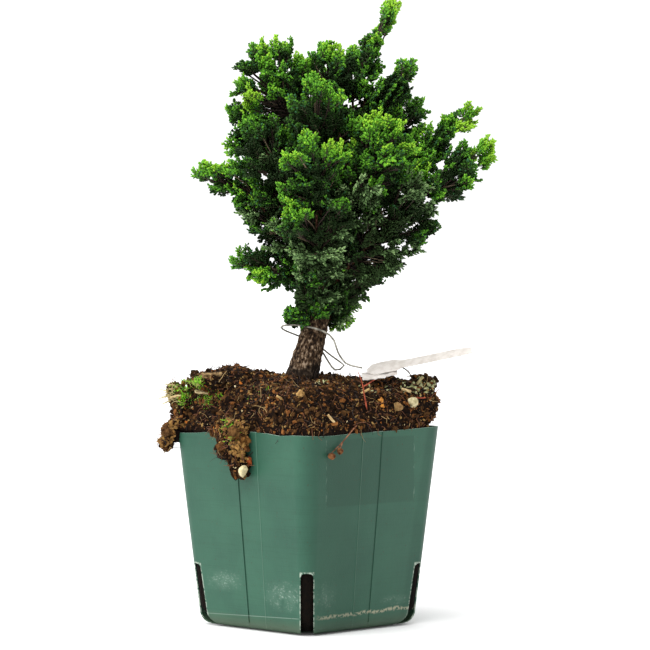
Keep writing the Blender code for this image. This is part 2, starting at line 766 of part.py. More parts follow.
def main():
    clear_scene()
    build_pot()
    soil = build_soil()
    build_trunk()
    bark = material("red_brown_bark", (0.09, 0.04, 0.025), 0.85)
    greenery = material("scale_foliage", (0.05, 0.14, 0.02), 0.55)
    wire_path = build_wire()
    build_label(soil)
    trunk_room = trunk_skin(CLEAR)
    limbs = [Limb(*trunk_room, tree_of(*trunk_room))]
    limbs.append(limb_clearance(wire_path, [WIRE_RADIUS] * len(wire_path)))
    masses = []
    for bough in BOUGHS:
        mass = mass_of(bough)
        masses.append(mass)
        build_bough(bough, mass, bark)
        path = bough_path(bough, mass)
        path[-1] = path[-1] + mass.axis * 0.8 * GAP
        limbs.append(limb_clearance(path, bough_radii(bough)))
    for bough in (LEADER, *FOOT_MASSES):
        masses.append(mass_on_trunk(bough))
    stems = {mass.name: limb_clearance(stem_of(mass), [BOUGH_TIP, TWIG_RADIUS]) for mass in masses}
    others = []
    for mass in masses:
        near = limbs + [stem for owner, stem in stems.items() if owner != mass.name]
        grown = grow_mass(mass, masses, near, others, greenery)
        polygons = [tuple(p.vertices) for p in grown.data.polygons]
        others.append(tree_of([v.co for v in grown.data.vertices], polygons))


main()
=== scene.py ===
"""The looks of a dwarf conifer in a square slit pot, in metres: +Z is up and the viewer stands at -Y."""

import math
from collections import namedtuple

import bmesh
import bpy
import numpy as np
from mathutils import Matrix, Vector, noise


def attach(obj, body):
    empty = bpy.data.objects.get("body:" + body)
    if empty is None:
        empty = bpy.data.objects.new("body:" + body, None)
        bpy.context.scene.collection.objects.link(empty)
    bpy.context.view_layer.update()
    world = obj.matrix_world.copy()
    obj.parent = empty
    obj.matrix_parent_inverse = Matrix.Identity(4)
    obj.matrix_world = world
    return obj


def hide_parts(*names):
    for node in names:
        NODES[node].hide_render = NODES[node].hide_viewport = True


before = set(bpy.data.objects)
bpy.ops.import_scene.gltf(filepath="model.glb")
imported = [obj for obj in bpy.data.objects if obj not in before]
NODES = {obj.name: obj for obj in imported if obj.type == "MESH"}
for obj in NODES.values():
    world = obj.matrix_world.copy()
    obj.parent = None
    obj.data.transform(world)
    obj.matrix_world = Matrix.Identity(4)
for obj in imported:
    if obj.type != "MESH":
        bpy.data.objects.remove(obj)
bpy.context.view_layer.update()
MM = 0.001
UP = np.array((0.0, 0.0, 1.0))
GOLDEN_TURN = math.radians(137.5)
draw = np.random.default_rng(11)
# The viewer's eye
EYE = (8.9 * MM, -1.6, 190 * MM)

# The tree's own sizes, as the solids have them
TRUNK_X, TRUNK_Y = -4 * MM, -8 * MM
TRUNK_FOOT, TRUNK_TIP = 124.5 * MM, 272 * MM
LEAN_X, LEAN_Y = 0.225, 0.08
TRUNK_SWAY, SWAY_LENGTH, SWAY_BACK = 0.9 * MM, 19 * MM, 0.6
TRUNK_RADIUS, TIP_RADIUS = 7.2 * MM, 1.3 * MM
FLARE, FLARE_HEIGHT = 1.6 * MM, 5 * MM
BOUGH_RADIUS, BOUGH_TIP, BOUGH_SAG = 2.2 * MM, 0.9 * MM, 0.1
ENTRY, STEM_INTO = 0.86, 0.4

# Where each bough leaves the trunk (mm up), its heading and rise (degrees), its bare part and its reach (mm), half
# the width of its foliage (mm), how much painted light its foliage gets (painted shade below 0), and how much of it
# is old and grey
Bough = namedtuple("Bough", "name leaves heading rise bare reach half_width light old")
BOUGHS = (
    Bough("right_high_arm", 207.5, 10, 37, 50, 93, 9.2, 0.1, 0.0),
    Bough("right_arm", 187, 359, 34.5, 40, 101, 14.6, 0.16, 0.08),
    Bough("right_inner", 195, 18, 43, 18, 78, 20, 0.0, 0.1),
    Bough("upper_right", 249.5, 348, 50, 8, 47.5, 10.2, 0.03, 0.0),
    Bough("lower_right", 167.6, 355, 46.2, 16, 85, 21.4, -0.12, 0.45),
    Bough("bottom_right", 153, 5, 44, 10, 46, 10.4, -0.1, 0.35),
    Bough("lower_left_arm", 177.2, 171, 9, 8, 48, 12.2, 0.08, 0.05),
    Bough("left_low", 178.5, 169, 46.5, 18, 63, 15.2, 0.02, 0.2),
    Bough("left_arm", 208, 182, 17.3, 26, 74.5, 11, 0.3, 0.0),
    Bough("left_high", 212.4, 171, 41.5, 26, 75, 17, 0.1, 0.05),
    Bough("top_left", 220.4, 182, 59, 34, 85.8, 23, 0.06, 0.0),
    Bough("top_centre", 230, 195, 81, 18, 65.8, 18.4, -0.06, 0.0),
    Bough("top_right", 246, 94, 74, 8, 50, 17, -0.03, 0.0),
    Bough("front_high", 214, 252, 54, 22, 74, 18, -0.12, 0.0),
    Bough("front_middle", 190, 260, 46, 26, 77, 19, 0.17, 0.08),
    Bough("front_right", 200, 310, 46, 22, 75, 20, 0.08, 0.15),
    Bough("left_centre", 196, 200, 52, 20, 74, 20, 0.02, 0.08),
    Bough("front_low", 164, 268, 56, 18, 71, 20, 0.02, 0.4),
    Bough("low_front", 149.5, 278, 64, 4, 51, 13.5, 0.0, 0.45),
    Bough("back_high", 218, 112, 52, 22, 81, 20, 0.0, 0.0),
    Bough("back_middle", 198, 69, 41, 24, 84, 21, 0.0, 0.05),
    Bough("back_left", 183, 123, 45, 24, 86, 21, 0.0, 0.05),
    Bough("back_low", 158, 78, 47, 16, 70, 18, -0.1, 0.3),
    Bough("back_right", 229, 40, 36, 14, 63, 16.5, 0.0, 0.0),
)
LEADER = Bough("leader", 272, 20, 61, 0, 52, 7.2, 0.14, 0.0)
LEADER_SHIFT = np.array((-8.6, 0, 1)) * MM
FOOT_MASSES = (
    Bough("bottom", 149, 33, 33, 8, 31, 8.9, 0.0, 0.25),
    Bough("bottom_left", 154.5, 222, 12, 5, 19, 6.8, 0.1, 0.1),
)


# Finishes


def linear(hex_colour):
    """The linear colour of an sRGB hex value."""
    parts = [int(hex_colour[i : i + 2], 16) / 255 for i in (1, 3, 5)]
    return [c / 12.92 if c <= 0.04045 else ((c + 0.055) / 1.055) ** 2.4 for c in parts] + [1]


def add_node(tree, kind, settings=None, output=0):
    """Adds one node and gives back one of its outputs. A setting is a property, the stops of a colour ramp, or the
    value of an input, which may be a number, a hex colour or another node's output."""
    node = tree.nodes.new("ShaderNode" + kind)
    for name, value in (settings or {}).items():
        if name == "stops":
            elements = node.color_ramp.elements
            while len(elements) < len(value):
                elements.new(0.5)
            for element, (position, colour) in zip(elements, value):
                element.position = position
                element.color = linear(colour)
        elif isinstance(name, str) and hasattr(node, name):
            setattr(node, name, value)
        elif isinstance(value, bpy.types.NodeSocket):
            tree.links.new(value, node.inputs[name])
        else:
            node.inputs[name].default_value = linear(value) if isinstance(value, str) else value
    return node.outputs[output]


def finish_of(name, colour, roughness, **sockets):
    """A plain material, with constants set on the shader's own sockets."""
    made = bpy.data.materials.new(name)
    made.use_nodes = True
    shader = made.node_tree.nodes["Principled BSDF"]
    shader.inputs["Base Color"].default_value = linear(colour)
    shader.inputs["Roughness"].default_value = roughness
    for socket, value in sockets.items():
        shader.inputs[socket.replace("_", " ")].default_value = value
    return made


def dress(made, colour, height=None, depth=0.0):
    """Gives a material its pattern of colour, and its bumps of a real depth in metres."""
    tree = made.node_tree
    shader = tree.nodes["Principled BSDF"]
    tree.links.new(colour, shader.inputs["Base Color"])
    if height is not None:
        bump = add_node(tree, "Bump", {"Strength": 1, "Distance": depth, "Height": height})
        tree.links.new(bump, shader.inputs["Normal"])
    return made


def grain(tree, place, size, stretch=(1, 1, 1), detail=3):
    """Noise whose spots measure size metres, times stretch along each axis; from 0 to 1, mostly near 0.5."""
    moved = add_node(tree, "Mapping", {"Vector": place, "Scale": [1 / (size * s) for s in stretch]})
    return add_node(tree, "TexNoise", {"Vector": moved, "Scale": 1, "Detail": detail})


def times(tree, first, *others):
    """The product of patterns, masks and plain shares."""
    product = first
    for value in others:
        product = add_node(tree, "Math", {"operation": "MULTIPLY", 0: product, 1: value})
    return product


def swayed(tree, value, spots, by):
    """A value moved up and down by a pattern of spots, half of by each way at the most."""
    middle = add_node(tree, "Math", {"operation": "SUBTRACT", 0: spots, 1: 0.5})
    return add_node(tree, "Math", {"operation": "ADD", 0: value, 1: times(tree, middle, by)})


def band(tree, value, low, high, soft):
    """1 between low and high and 0 outside, with soft edges."""
    rising = {"Value": value, "From Min": low - soft, "From Max": low + soft}
    falling = {"Value": value, "From Min": high - soft, "From Max": high + soft, "To Min": 1, "To Max": 0}
    return times(tree, add_node(tree, "MapRange", rising), add_node(tree, "MapRange", falling))


def layer(tree, below, above, *masks):
    """One colour laid over another where all the masks hold."""
    return add_node(tree, "Mix", {"data_type": "RGBA", "Factor": times(tree, *masks), 6: below, 7: above}, 2)


def earthy(name, dark, light, size, roughness=0.95, painted_shade_below=None):
    """Dry peat, wood, straw or stone: one colour that runs unevenly from a dark to a light tone, and what lies
    below the height given is nearly black: painted shade, for soil deep inside the pot."""
    made = finish_of(name, light, roughness, Specular_IOR_Level=0.1)
    tree = made.node_tree
    place = add_node(tree, "TexCoord", output="Object")
    spots = grain(tree, place, size)
    colour = add_node(tree, "ValToRGB", {"Fac": spots, "stops": ((0.36, dark), (0.64, light))})
    # Painted shade: nearly black below the height given
    if painted_shade_below:
        z = add_node(tree, "SeparateXYZ", {"Vector": place}, "Z")
        colour = layer(tree, colour, "#080604", band(tree, z, -1, painted_shade_below, 4 * MM), 0.75)
    return dress(made, colour, spots, 0.3 * size)


# Modelling by hand


def nothing_selected():
    if bpy.context.mode != "OBJECT":
        bpy.ops.object.mode_set(mode="OBJECT")
    bpy.ops.object.select_all(action="DESELECT")


def activate(obj, mode="OBJECT"):
    """Selects one object alone and enters the mode given."""
    nothing_selected()
    obj.select_set(True)
    bpy.context.view_layer.objects.active = obj
    bpy.ops.object.mode_set(mode=mode)


def pick(obj, kind, test):
    """In edit mode, selects only the verts, edges or faces for which the test holds."""
    bpy.context.tool_settings.mesh_select_mode = [kind == k for k in ("verts", "edges", "faces")]
    bpy.ops.mesh.select_all(action="DESELECT")
    shape = bmesh.from_edit_mesh(obj.data)
    for part in getattr(shape, kind):
        if test(part):
            part.select_set(True)
    bmesh.update_edit_mesh(obj.data)


def nudge(obj, test, shift, reach):
    """In edit mode, moves the verts for which the test holds, and less and less what lies within reach of them."""
    pick(obj, "verts", test)
    bpy.ops.transform.translate(
        value=shift, use_proportional_edit=True, proportional_edit_falloff="SMOOTH", proportional_size=reach
    )


def modify(obj, kind, **settings):
    """Adds one modifier and applies it."""
    activate(obj)
    made = obj.modifiers.new(kind.lower(), kind)
    for name, value in settings.items():
        setattr(made, name, value)
    bpy.ops.object.modifier_apply(modifier=made.name)


def join(objects, name):
    activate(objects[0])
    for obj in objects:
        obj.select_set(True)
    if len(objects) > 1:
        bpy.ops.object.join()
    joined = bpy.context.object
    joined.name = name
    return joined


def settle(obj, name, finishes, replaced=(), smooth=35):
    """Puts a finished piece at the origin, shades it and hands it to the frame."""
    activate(obj)
    bpy.ops.object.transform_apply()
    bpy.ops.object.mode_set(mode="EDIT")
    bpy.ops.mesh.select_all(action="SELECT")
    bpy.ops.mesh.remove_doubles(threshold=0.01 * MM)
    bpy.ops.mesh.normals_make_consistent(inside=False)
    bpy.ops.object.mode_set(mode="OBJECT")
    bpy.ops.object.shade_smooth_by_angle(angle=math.radians(smooth))
    obj.name = name
    for finish in finishes:
        obj.data.materials.append(finish)
    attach(obj, "root")
    if replaced:
        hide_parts(*replaced)
    return obj


def grow_limb(path, radii, sides):
    """A tapering limb: a disc at its foot, extruded and narrowed from point to point of its path."""
    nothing_selected()
    turn = (path[-1] - path[0]).to_track_quat("Z", "X").to_euler()
    bpy.ops.mesh.primitive_circle_add(
        vertices=sides, radius=radii[0], fill_type="NGON", location=path[0], rotation=turn
    )
    limb = bpy.context.object
    bpy.ops.object.mode_set(mode="EDIT")
    for here, there, wide, narrow in zip(path, path[1:], radii, radii[1:]):
        bpy.ops.mesh.extrude_region_move(TRANSFORM_OT_translate={"value": there - here})
        bpy.ops.transform.resize(value=(narrow / wide,) * 3, center_override=there)
    bpy.ops.object.mode_set(mode="OBJECT")
    return limb


def noise_texture(name, kind, size, **settings):
    made = bpy.data.textures.new(name, kind)
    made.noise_scale = size
    for setting, value in settings.items():
        setattr(made, setting, value)
    return made


# The crown's spaces


def trunk_point(z):
    up = z - TRUNK_FOOT
    sway = TRUNK_SWAY * np.sin(up / SWAY_LENGTH)
    x, y = TRUNK_X + LEAN_X * up + sway, TRUNK_Y + LEAN_Y * up + SWAY_BACK * sway
    return np.stack((x, y, z + 0 * up), axis=-1)


def trunk_radius(z):
    up = np.maximum(z - TRUNK_FOOT, 0)
    share = np.minimum(up / (TRUNK_TIP - TRUNK_FOOT), 1)
    return TIP_RADIUS + (TRUNK_RADIUS - TIP_RADIUS) * (1 - share) + FLARE * np.exp(-up / FLARE_HEIGHT)


def unit(v):
    return v / np.maximum(np.linalg.norm(v, axis=-1, keepdims=True), 1e-12)


def direction(heading, rise):
    turn, lift = math.radians(heading), math.radians(rise)
    return np.array((math.cos(lift) * math.cos(turn), math.cos(lift) * math.sin(turn), math.sin(lift)))


ALL_BOUGHS = (*BOUGHS, LEADER, *FOOT_MASSES)
AXES = np.array([direction(b.heading, b.rise) for b in ALL_BOUGHS])
HALF_LENGTHS = np.array([(b.reach - b.bare) / 2 * MM for b in ALL_BOUGHS])
HALF_WIDTHS = np.array([b.half_width * MM for b in ALL_BOUGHS])
STARTS = np.array([trunk_point(b.leaves * MM) for b in ALL_BOUGHS])
CENTRES = STARTS + AXES * (np.array([b.reach * MM for b in ALL_BOUGHS]) - HALF_LENGTHS)[:, None]
CENTRES[len(BOUGHS)] += LEADER_SHIFT
BASES = CENTRES - AXES * (ENTRY * HALF_LENGTHS)[:, None]
# How blunt the masses are: 2 is an ellipsoid
BLUNT = 2.4
CROWN_MIDDLE = np.array((8, 2, 228)) * MM
CROWN_HALF = np.array((75, 66, 84)) * MM


def depths(points):
    """How deep each point is in each mass's space: 0 at its middle, 1 on its surface."""
    local = points[:, None, :] - CENTRES[None]
    along = np.einsum("nmk,mk->nm", local, AXES)
    across = np.linalg.norm(local - along[..., None] * AXES[None], axis=-1)
    return ((np.abs(along) / HALF_LENGTHS) ** BLUNT + (across / HALF_WIDTHS) ** BLUNT) ** (1 / BLUNT)


# Foliage: each mass has tufts, each tuft a few fans, each fan a twig with sprays of club-shaped lobes

TUFT_AREA, LEAST_TUFTS, TUFT_SEED = 180 * MM**2, 8, 14
# From a mass's tip at 1 down its length: how far the tufts run, where the first is, how far they stray, and the ends
TUFT_RUN, TUFT_FIRST, TUFT_STRAY, TURN_STRAY = 1.86, 0.35, 0.04, 0.3
TUFT_LOWEST, TUFT_HIGHEST = -0.9, 0.99
# A tuft's root on its mass's stem: at the middle of the mass, and how much farther out towards the tip
ROOT_MIDDLE, ROOT_OUT = 0.3, 0.42
# How far inside a mass's surface its tufts end: most of them, and the short ones as a share of its half width
MARGIN, SHORT_MARGIN, SHORT_SHARE = (0.2 * MM, 4.2 * MM), (0.34, 0.6), 0.38
# The surface of a mass swells and sinks by this much, in swells of this size
SWELL, SWELL_SIZE = 7.5 * MM, 10 * MM
# What makes a tuft lighter or darker: chance, patches and newness; painted shade on the short tufts deep inside;
# painted light and shade by swells and by height within its mass
STRAY_TINT, SHORT_TINT, SWELL_TINT, PATCH_TINT, NEW_TINT, HIGH_TINT = 0.17, -0.24, 0.12, 0.4, 0.15, 0.12
PATCH_SIZE = 14 * MM
FANS, TUFT_SPREAD, FAN_SWING = 3, 3.6 * MM, 1.7 * MM
# How wide and how high a tuft's fans spread, how much lower they may end (mm), and how much painted light the higher
# fans get and painted shade the lower ones
FAN_WIDE, FAN_HIGH, FAN_LOWER, FAN_TINT = 1.35, 0.6, 2.2, 0.13
SPRAYS, FAN_FROM, FAN_LENGTH, SPRAY_LENGTH = 8, 0.3, 8.2 * MM, 4.6 * MM
SPRAY_ANGLE = math.radians(50)
LOBES, LOBE_ANGLE, OLD_ANGLE = 12, math.radians(46), math.radians(30)
LOBE_LENGTH, LOBE_WIDTH, LOBE_THICK = 2.4 * MM, 1.3 * MM, 1.0 * MM
# Old foliage has longer lobes on longer sprays, has lost a part of them, and fills most of its spots
OLD_STRETCH, OLD_SPRAY, OLD_SHARE, OLD_IN_SPOTS = 1.3, 1.4, 0.85, 0.8
# How far past its mass's surface a lobe may reach, and how far into another mass's space
OUTERMOST, SHARED = 1.14, 0.12
# A stalk's thickness, a twig's radius at its root and at its tip (mm), and how many twigs are pale
STALK_THICK, TWIG_RADII, PALE_TWIGS = 0.7, (0.55, 0.2), 0.12
MOST_TRIANGLES = 190_000

# Colours of the foliage, from the painted shade of the inside to the newest tips, then old foliage from dark to pale
YOUNG = ("#182c0e", "#223f12", "#365f1b", "#518a23", "#69a72b", "#8ebf33")
YOUNG_NAMES = ("shade", "deep", "middle", "fresh", "bright", "newest")
OLD = ("#2e4221", "#5a7747", "#88a66c")
OLD_NAMES = ("old_dark", "old", "old_pale")
# A painted reflection of the sky: a blue-green that a share of the middle-toned lobes take instead of their own
# colour
SKY_REFLECTION, SKY_REFLECTION_SHARE = "#33603a", 0.1
# Where, on the way from dark to new, one colour ends and the next begins
STEPS = np.array((0.16, 0.33, 0.54, 0.82, 1.04))
OLD_STEPS = np.array((0.34, 0.66))
# How far back the spots of new and old growth reach
SPOTS_END = 12 * MM
# Where the newest growth and the old grey growth show, seen from the front: x, z and half the width (mm)
NEW_TUFTS = (
    (-4, 290, 9), (8, 293, 8), (-25, 272, 10), (8, 258, 12), (-45, 232, 9), (20, 242, 8), (40, 240, 11),
    (88, 241, 8), (36, 220, 6), (1, 207, 8), (14, 213, 6), (-34, 191, 7), (-3, 159, 6), (30, 291, 8),
    (48, 286, 8), (84, 262, 9), (-52, 258, 6), (-70, 226, 7), (8, 156, 7),
)
OLD_TUFTS = ((30, 206, 24), (45, 190, 20), (10, 182, 18))
# Where the photo's crown lets the sky through, seen from the front: x, z and the hole's radius (mm)
SKY_HOLES = (
    (1, 269, 1.6), (24, 266, 2.6), (20, 266, 2.2), (29, 267, 1.8), (23, 279, 1.4), (68, 234, 2.2), (-22, 228, 2.2),
    (61, 217, 2.0), (40, 194, 1.8), (-23, 203, 1.3), (14, 196, 0.9), (76, 228, 1.4), (-14, 207, 1.0), (52, 192, 1.2),
)


def as_seen(points):
    """Where points show from the front, as x and z in the plane of the trunk."""
    nearer = EYE[1] / (EYE[1] - points[:, 1])
    return EYE[0] + (points[:, 0] - EYE[0]) * nearer, EYE[2] + (points[:, 2] - EYE[2]) * nearer


def in_sky_hole(points):
    """True for points on the way through one of the sky holes."""
    x, z = as_seen(points)
    holes = np.array(SKY_HOLES) * MM
    across, up = x[:, None] - holes[None, :, 0], 0.8 * (z[:, None] - holes[None, :, 1])
    turn = np.arctan2(up, across) + 7 * np.arange(len(holes))
    ragged = 1 + 0.3 * np.sin(3 * turn) + 0.25 * np.sin(5 * turn + 1)
    return (np.hypot(across, up) < holes[None, :, 2] * ragged).any(axis=1)


def shown(place, spots):
    """How near a place in the front half is to the nearest spot, from 1 at its middle to 0 away from it."""
    if place[1] > SPOTS_END:
        return 0
    x, z = place[0] / MM, place[2] / MM
    return max(math.exp(-((x - a) ** 2 + (z - b) ** 2) / size**2) for a, b, size in spots)


def surface_of(half_length, half_width):
    """The area of a long ellipsoid, near enough."""
    power = 1.6
    ends, sides = half_width ** (2 * power), (half_length * half_width) ** power
    return 4 * math.pi * ((2 * sides + ends) / 3) ** (1 / power)


def tufts():
    """Root, goal, mass, tint and age of every tuft, spread over each mass by the golden angle."""
    rows = []
    for m, bough in enumerate(ALL_BOUGHS):
        own = np.random.default_rng((TUFT_SEED, m))
        half_length, half_width, centre, axis = HALF_LENGTHS[m], HALF_WIDTHS[m], CENTRES[m], AXES[m]
        count = max(int(surface_of(half_length, half_width) / TUFT_AREA), LEAST_TUFTS)
        side = unit(np.cross(axis, (0.3, 0.9, 0.2)))
        other = np.cross(axis, side)
        end = centre + axis * STEM_INTO * half_length
        for k in range(count):
            along = 1 - TUFT_RUN * (k + TUFT_FIRST) / count + own.normal(0, TUFT_STRAY)
            along = min(max(along, TUFT_LOWEST), TUFT_HIGHEST)
            turn = k * GOLDEN_TURN + own.normal(0, TURN_STRAY)
            out = side * math.cos(turn) + other * math.sin(turn)
            short = own.random() < SHORT_SHARE
            margin = own.uniform(*SHORT_MARGIN) * half_width if short else own.uniform(*MARGIN)
            if k == 0:
                along, short, margin = 1, False, 0.5 * MM
            wide = (1 - abs(along) ** BLUNT) ** (1 / BLUNT)
            goal = centre + out * wide * (half_width - margin) + axis * along * (half_length - margin)
            swell = noise.noise(Vector(goal) / SWELL_SIZE + Vector((9, 0, 0))) * (k > 0)
            goal += unit(goal - centre) * min(swell * SWELL, 0.6 * margin)
            root = BASES[m] + (end - BASES[m]) * max(ROOT_MIDDLE + ROOT_OUT * along, 0)
            new = shown(goal, NEW_TUFTS)
            # The tint is partly painted light and shade: the bough's painted light, painted shade on short tufts,
            # painted light on swells that stand out and painted shade in sunken ones, and painted light high in the
            # mass
            tint = bough.light + own.normal(0, STRAY_TINT) + SHORT_TINT * short + SWELL_TINT * swell
            tint += PATCH_TINT * noise.noise(Vector(goal) / PATCH_SIZE) + NEW_TINT * new
            tint += HIGH_TINT * (goal[2] - centre[2]) / half_width
            old = own.random() < max(bough.old, OLD_IN_SPOTS * shown(goal, OLD_TUFTS)) - new
            rows.append((*root, *goal, m, tint, old))
    return np.array(rows)


def fans():
    """Each tuft's fans: the first at its goal, the others round it and a little lower."""
    rows = np.repeat(tufts(), FANS, axis=0)
    count = len(rows)
    place = np.arange(count) % FANS
    root, goal = rows[:, 0:3], rows[:, 3:6].copy()
    away = unit(goal - root)
    side = unit(np.cross(away, (0.2, 0.3, 0.9)))
    other = np.cross(away, side)
    turn = 2 * math.pi * place / FANS + np.repeat(draw.uniform(0, 6, count // FANS), FANS)
    spread = TUFT_SPREAD * draw.uniform(0.75, 1.2, count) * np.where(place == 0, 0.55, 1.0)
    spread *= np.repeat(draw.uniform(0.7, 1.25, count // FANS), FANS)
    sideways = side * (FAN_WIDE * np.cos(turn) * spread)[:, None]
    goal += sideways + other * (FAN_HIGH * np.sin(turn) * spread)[:, None]
    goal -= away * (draw.uniform(0, FAN_LOWER, count) * MM * (place > 0))[:, None]
    # Painted light on a tuft's higher fans, painted shade on its lower ones
    higher = np.clip((goal[:, 2] - rows[:, 5]) / (3 * MM), -1.2, 1)
    tint = rows[:, 7] + draw.normal(0, 0.06, count) + FAN_TINT * higher
    return root, goal, rows[:, 6].astype(int), tint, rows[:, 8] > 0.5


def foliage():
    """Every lobe, stalk and twig of the crown, as arrays."""
    root, goal, mass, tint, old = fans()
    count = len(root)
    reach = np.linalg.norm(goal - root, axis=1)
    away = unit(goal - CENTRES[mass])
    lift = np.where(old, -0.3, 0.2) * reach
    # Each fan sags on its way, then bends up or, if old, down, and its own way near its end
    swing = draw.normal(0, FAN_SWING, (count, 3))
    swing -= away * np.sum(swing * away, axis=1, keepdims=True)
    middle = 0.42 * root + 0.58 * goal - UP * (0.1 * reach)[:, None] - 1.3 * swing
    tip = goal + UP * (0.3 * lift)[:, None] + swing
    face = unit(0.85 * UP + 0.5 * away + draw.normal(0, 0.3, (count, 3)))
    # Sprays sit on the outer part of each twig, within a tuft's own length of its tip
    first = np.maximum(FAN_FROM, 1 - FAN_LENGTH / np.maximum(reach, FAN_LENGTH))
    lobes, stalks, routes = [], [], [root, 0.49 * (root + middle) + 0.02 * tip]
    for s in range(SPRAYS):
        t = (first + (0.97 - first) * (s + 0.25) / (SPRAYS - 0.75))[:, None]
        here = (1 - t) ** 2 * root + 2 * t * (1 - t) * middle + t * t * tip
        way = unit(2 * (1 - t) * (middle - root) + 2 * t * (tip - middle))
        normal = unit(face - way * np.sum(face * way, axis=1, keepdims=True))
        side = np.cross(normal, way)
        # Sprays go left and right by turns, and the last straight on
        hand = 0 if s == SPRAYS - 1 else (1 if s % 2 else -1)
        angle = (SPRAY_ANGLE * hand * draw.uniform(0.75, 1.25, count))[:, None]
        cup = draw.normal(0.1, 0.22, count)[:, None]
        rise = np.where(old, -0.35, 0.08)[:, None]
        grow = unit(np.cos(angle) * way + np.sin(angle) * side + cup * normal + rise * UP)
        length = SPRAY_LENGTH * (1.1 - 0.35 * s / SPRAYS) * draw.uniform(0.7, 1.2, count)
        length *= np.where(old, OLD_SPRAY, 1.0)
        span = unit(np.cross(normal, grow))
        flat = np.cross(grow, span)
        stalks.append((here, here + grow * (length * 0.9)[:, None], mass))
        routes.append(here)
        for j in range(LOBES):
            end = j == LOBES - 1
            u = 0.72 if end else 0.1 + 0.72 * (j // 2 + 0.3 * (j % 2)) / ((LOBES - 1) / 2)
            lean = 0 if end else np.where(old, OLD_ANGLE, LOBE_ANGLE) * (1 if j % 2 else -1)
            turn = (lean + draw.normal(0, 0.18, count))[:, None]
            twist = draw.normal(0, 0.3, count)[:, None]
            lobe_way = unit(np.cos(turn) * grow + np.sin(turn) * span + twist * flat)
            size = draw.uniform(0.75, 1.25, count) * (1.1 - 0.3 * u) * np.where(old, OLD_STRETCH, 1.0)
            score = 0.02 + 0.42 * s / SPRAYS + 0.28 * u + tint + draw.normal(0, 0.12, count)
            lobes.append((here + grow * (length * u)[:, None], lobe_way, flat, size, score, mass, old))
    return lobes, stalks, np.stack(routes[:2] + routes[2::2], axis=1), mass


def keep_own_space(points, mass):
    """True for points inside their own mass's space and clear of the trunk."""
    deep = depths(points)
    own = deep[np.arange(len(points)), mass]
    deep[np.arange(len(points)), mass] = np.inf
    free = (own < OUTERMOST) & (own < deep.min(axis=1) + SHARED)
    off = np.linalg.norm(points - trunk_point(points[:, 2]), axis=1)
    return free & (off > trunk_radius(points[:, 2]))


def mesh_piece(name, points, faces, finish, smooth=True):
    """A piece from arrays of points and faces, all faces of the same count of corners."""
    mesh = bpy.data.meshes.new(name)
    corners = faces.shape[1]
    mesh.vertices.add(len(points))
    mesh.vertices.foreach_set("co", points.astype(np.float32).ravel())
    mesh.loops.add(faces.size)
    mesh.loops.foreach_set("vertex_index", faces.astype(np.int32).ravel())
    mesh.polygons.add(len(faces))
    mesh.polygons.foreach_set("loop_start", np.arange(0, faces.size, corners, dtype=np.int32))
    mesh.update(calc_edges=True)
    mesh.polygons.foreach_set("use_smooth", np.full(len(faces), smooth))
    mesh.materials.append(finish)
    obj = bpy.data.objects.new(name, mesh)
    bpy.context.scene.collection.objects.link(obj)
    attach(obj, "root")
    return obj


def copies(template, template_faces, places):
    """Points and faces of many copies: template is n points in (side, flat, along), places the frames of each."""
    at, side, flat, along = places
    points = (
        at[:, None]
        + template[None, :, 0:1] * side[:, None]
        + template[None, :, 1:2] * flat[:, None]
        + template[None, :, 2:3] * along[:, None]
    )
    first = np.arange(len(at))[:, None, None] * len(template)
    return points.reshape(-1, 3), (template_faces[None] + first).reshape(-1, template_faces.shape[1])


def club():
    """A lobe: a small ridged club, widest past its middle, of 6 faces."""
    ring = [(0.5, -0.25, 0.62), (0, 0.5, 0.55), (-0.5, -0.25, 0.62)]
    faces = []
    for k in range(3):
        a, b = 1 + k, 1 + (k + 1) % 3
        faces += [(0, b, a), (a, b, 4)]
    return np.array([(0, 0, 0), *ring, (0, 0, 1)], float), np.array(faces)


def spindle():
    """A stalk of six faces, thickest near its root."""
    ring = [(0.5 * math.cos(t), 0.5 * math.sin(t), 0.12) for t in (0.0, 2.094, 4.189)]
    points = [(0, 0, 0), *ring, (0, 0, 1)]
    faces = [(0, 1 + (k + 1) % 3, 1 + k) for k in range(3)] + [(4, 1 + k, 1 + (k + 1) % 3) for k in range(3)]
    return np.array(points, float), np.array(faces)


def strands(name, paths, radii, finish):
    """Thin tapering tubes of three sides along many paths of the same number of points."""
    count, steps = paths.shape[:2]
    way = unit(np.gradient(paths, axis=1))
    side = unit(np.cross(way, unit(draw.normal(0, 1, (count, 1, 3)))))
    other = np.cross(way, side)
    turns = [2 * math.pi * k / 3 for k in range(3)]
    rings = [paths + (side * math.cos(t) + other * math.sin(t)) * radii[..., None] for t in turns]
    points = np.stack(rings, axis=2).reshape(-1, 3)
    first = (np.arange(count)[:, None] * steps + np.arange(steps - 1)[None]).reshape(-1, 1) * 3
    faces = []
    for k, n in ((0, 1), (1, 2), (2, 0)):
        faces.append(first + np.array((k, n, n + 3)))
        faces.append(first + np.array((k, n + 3, k + 3)))
    return mesh_piece(name, points, np.concatenate(faces), finish)


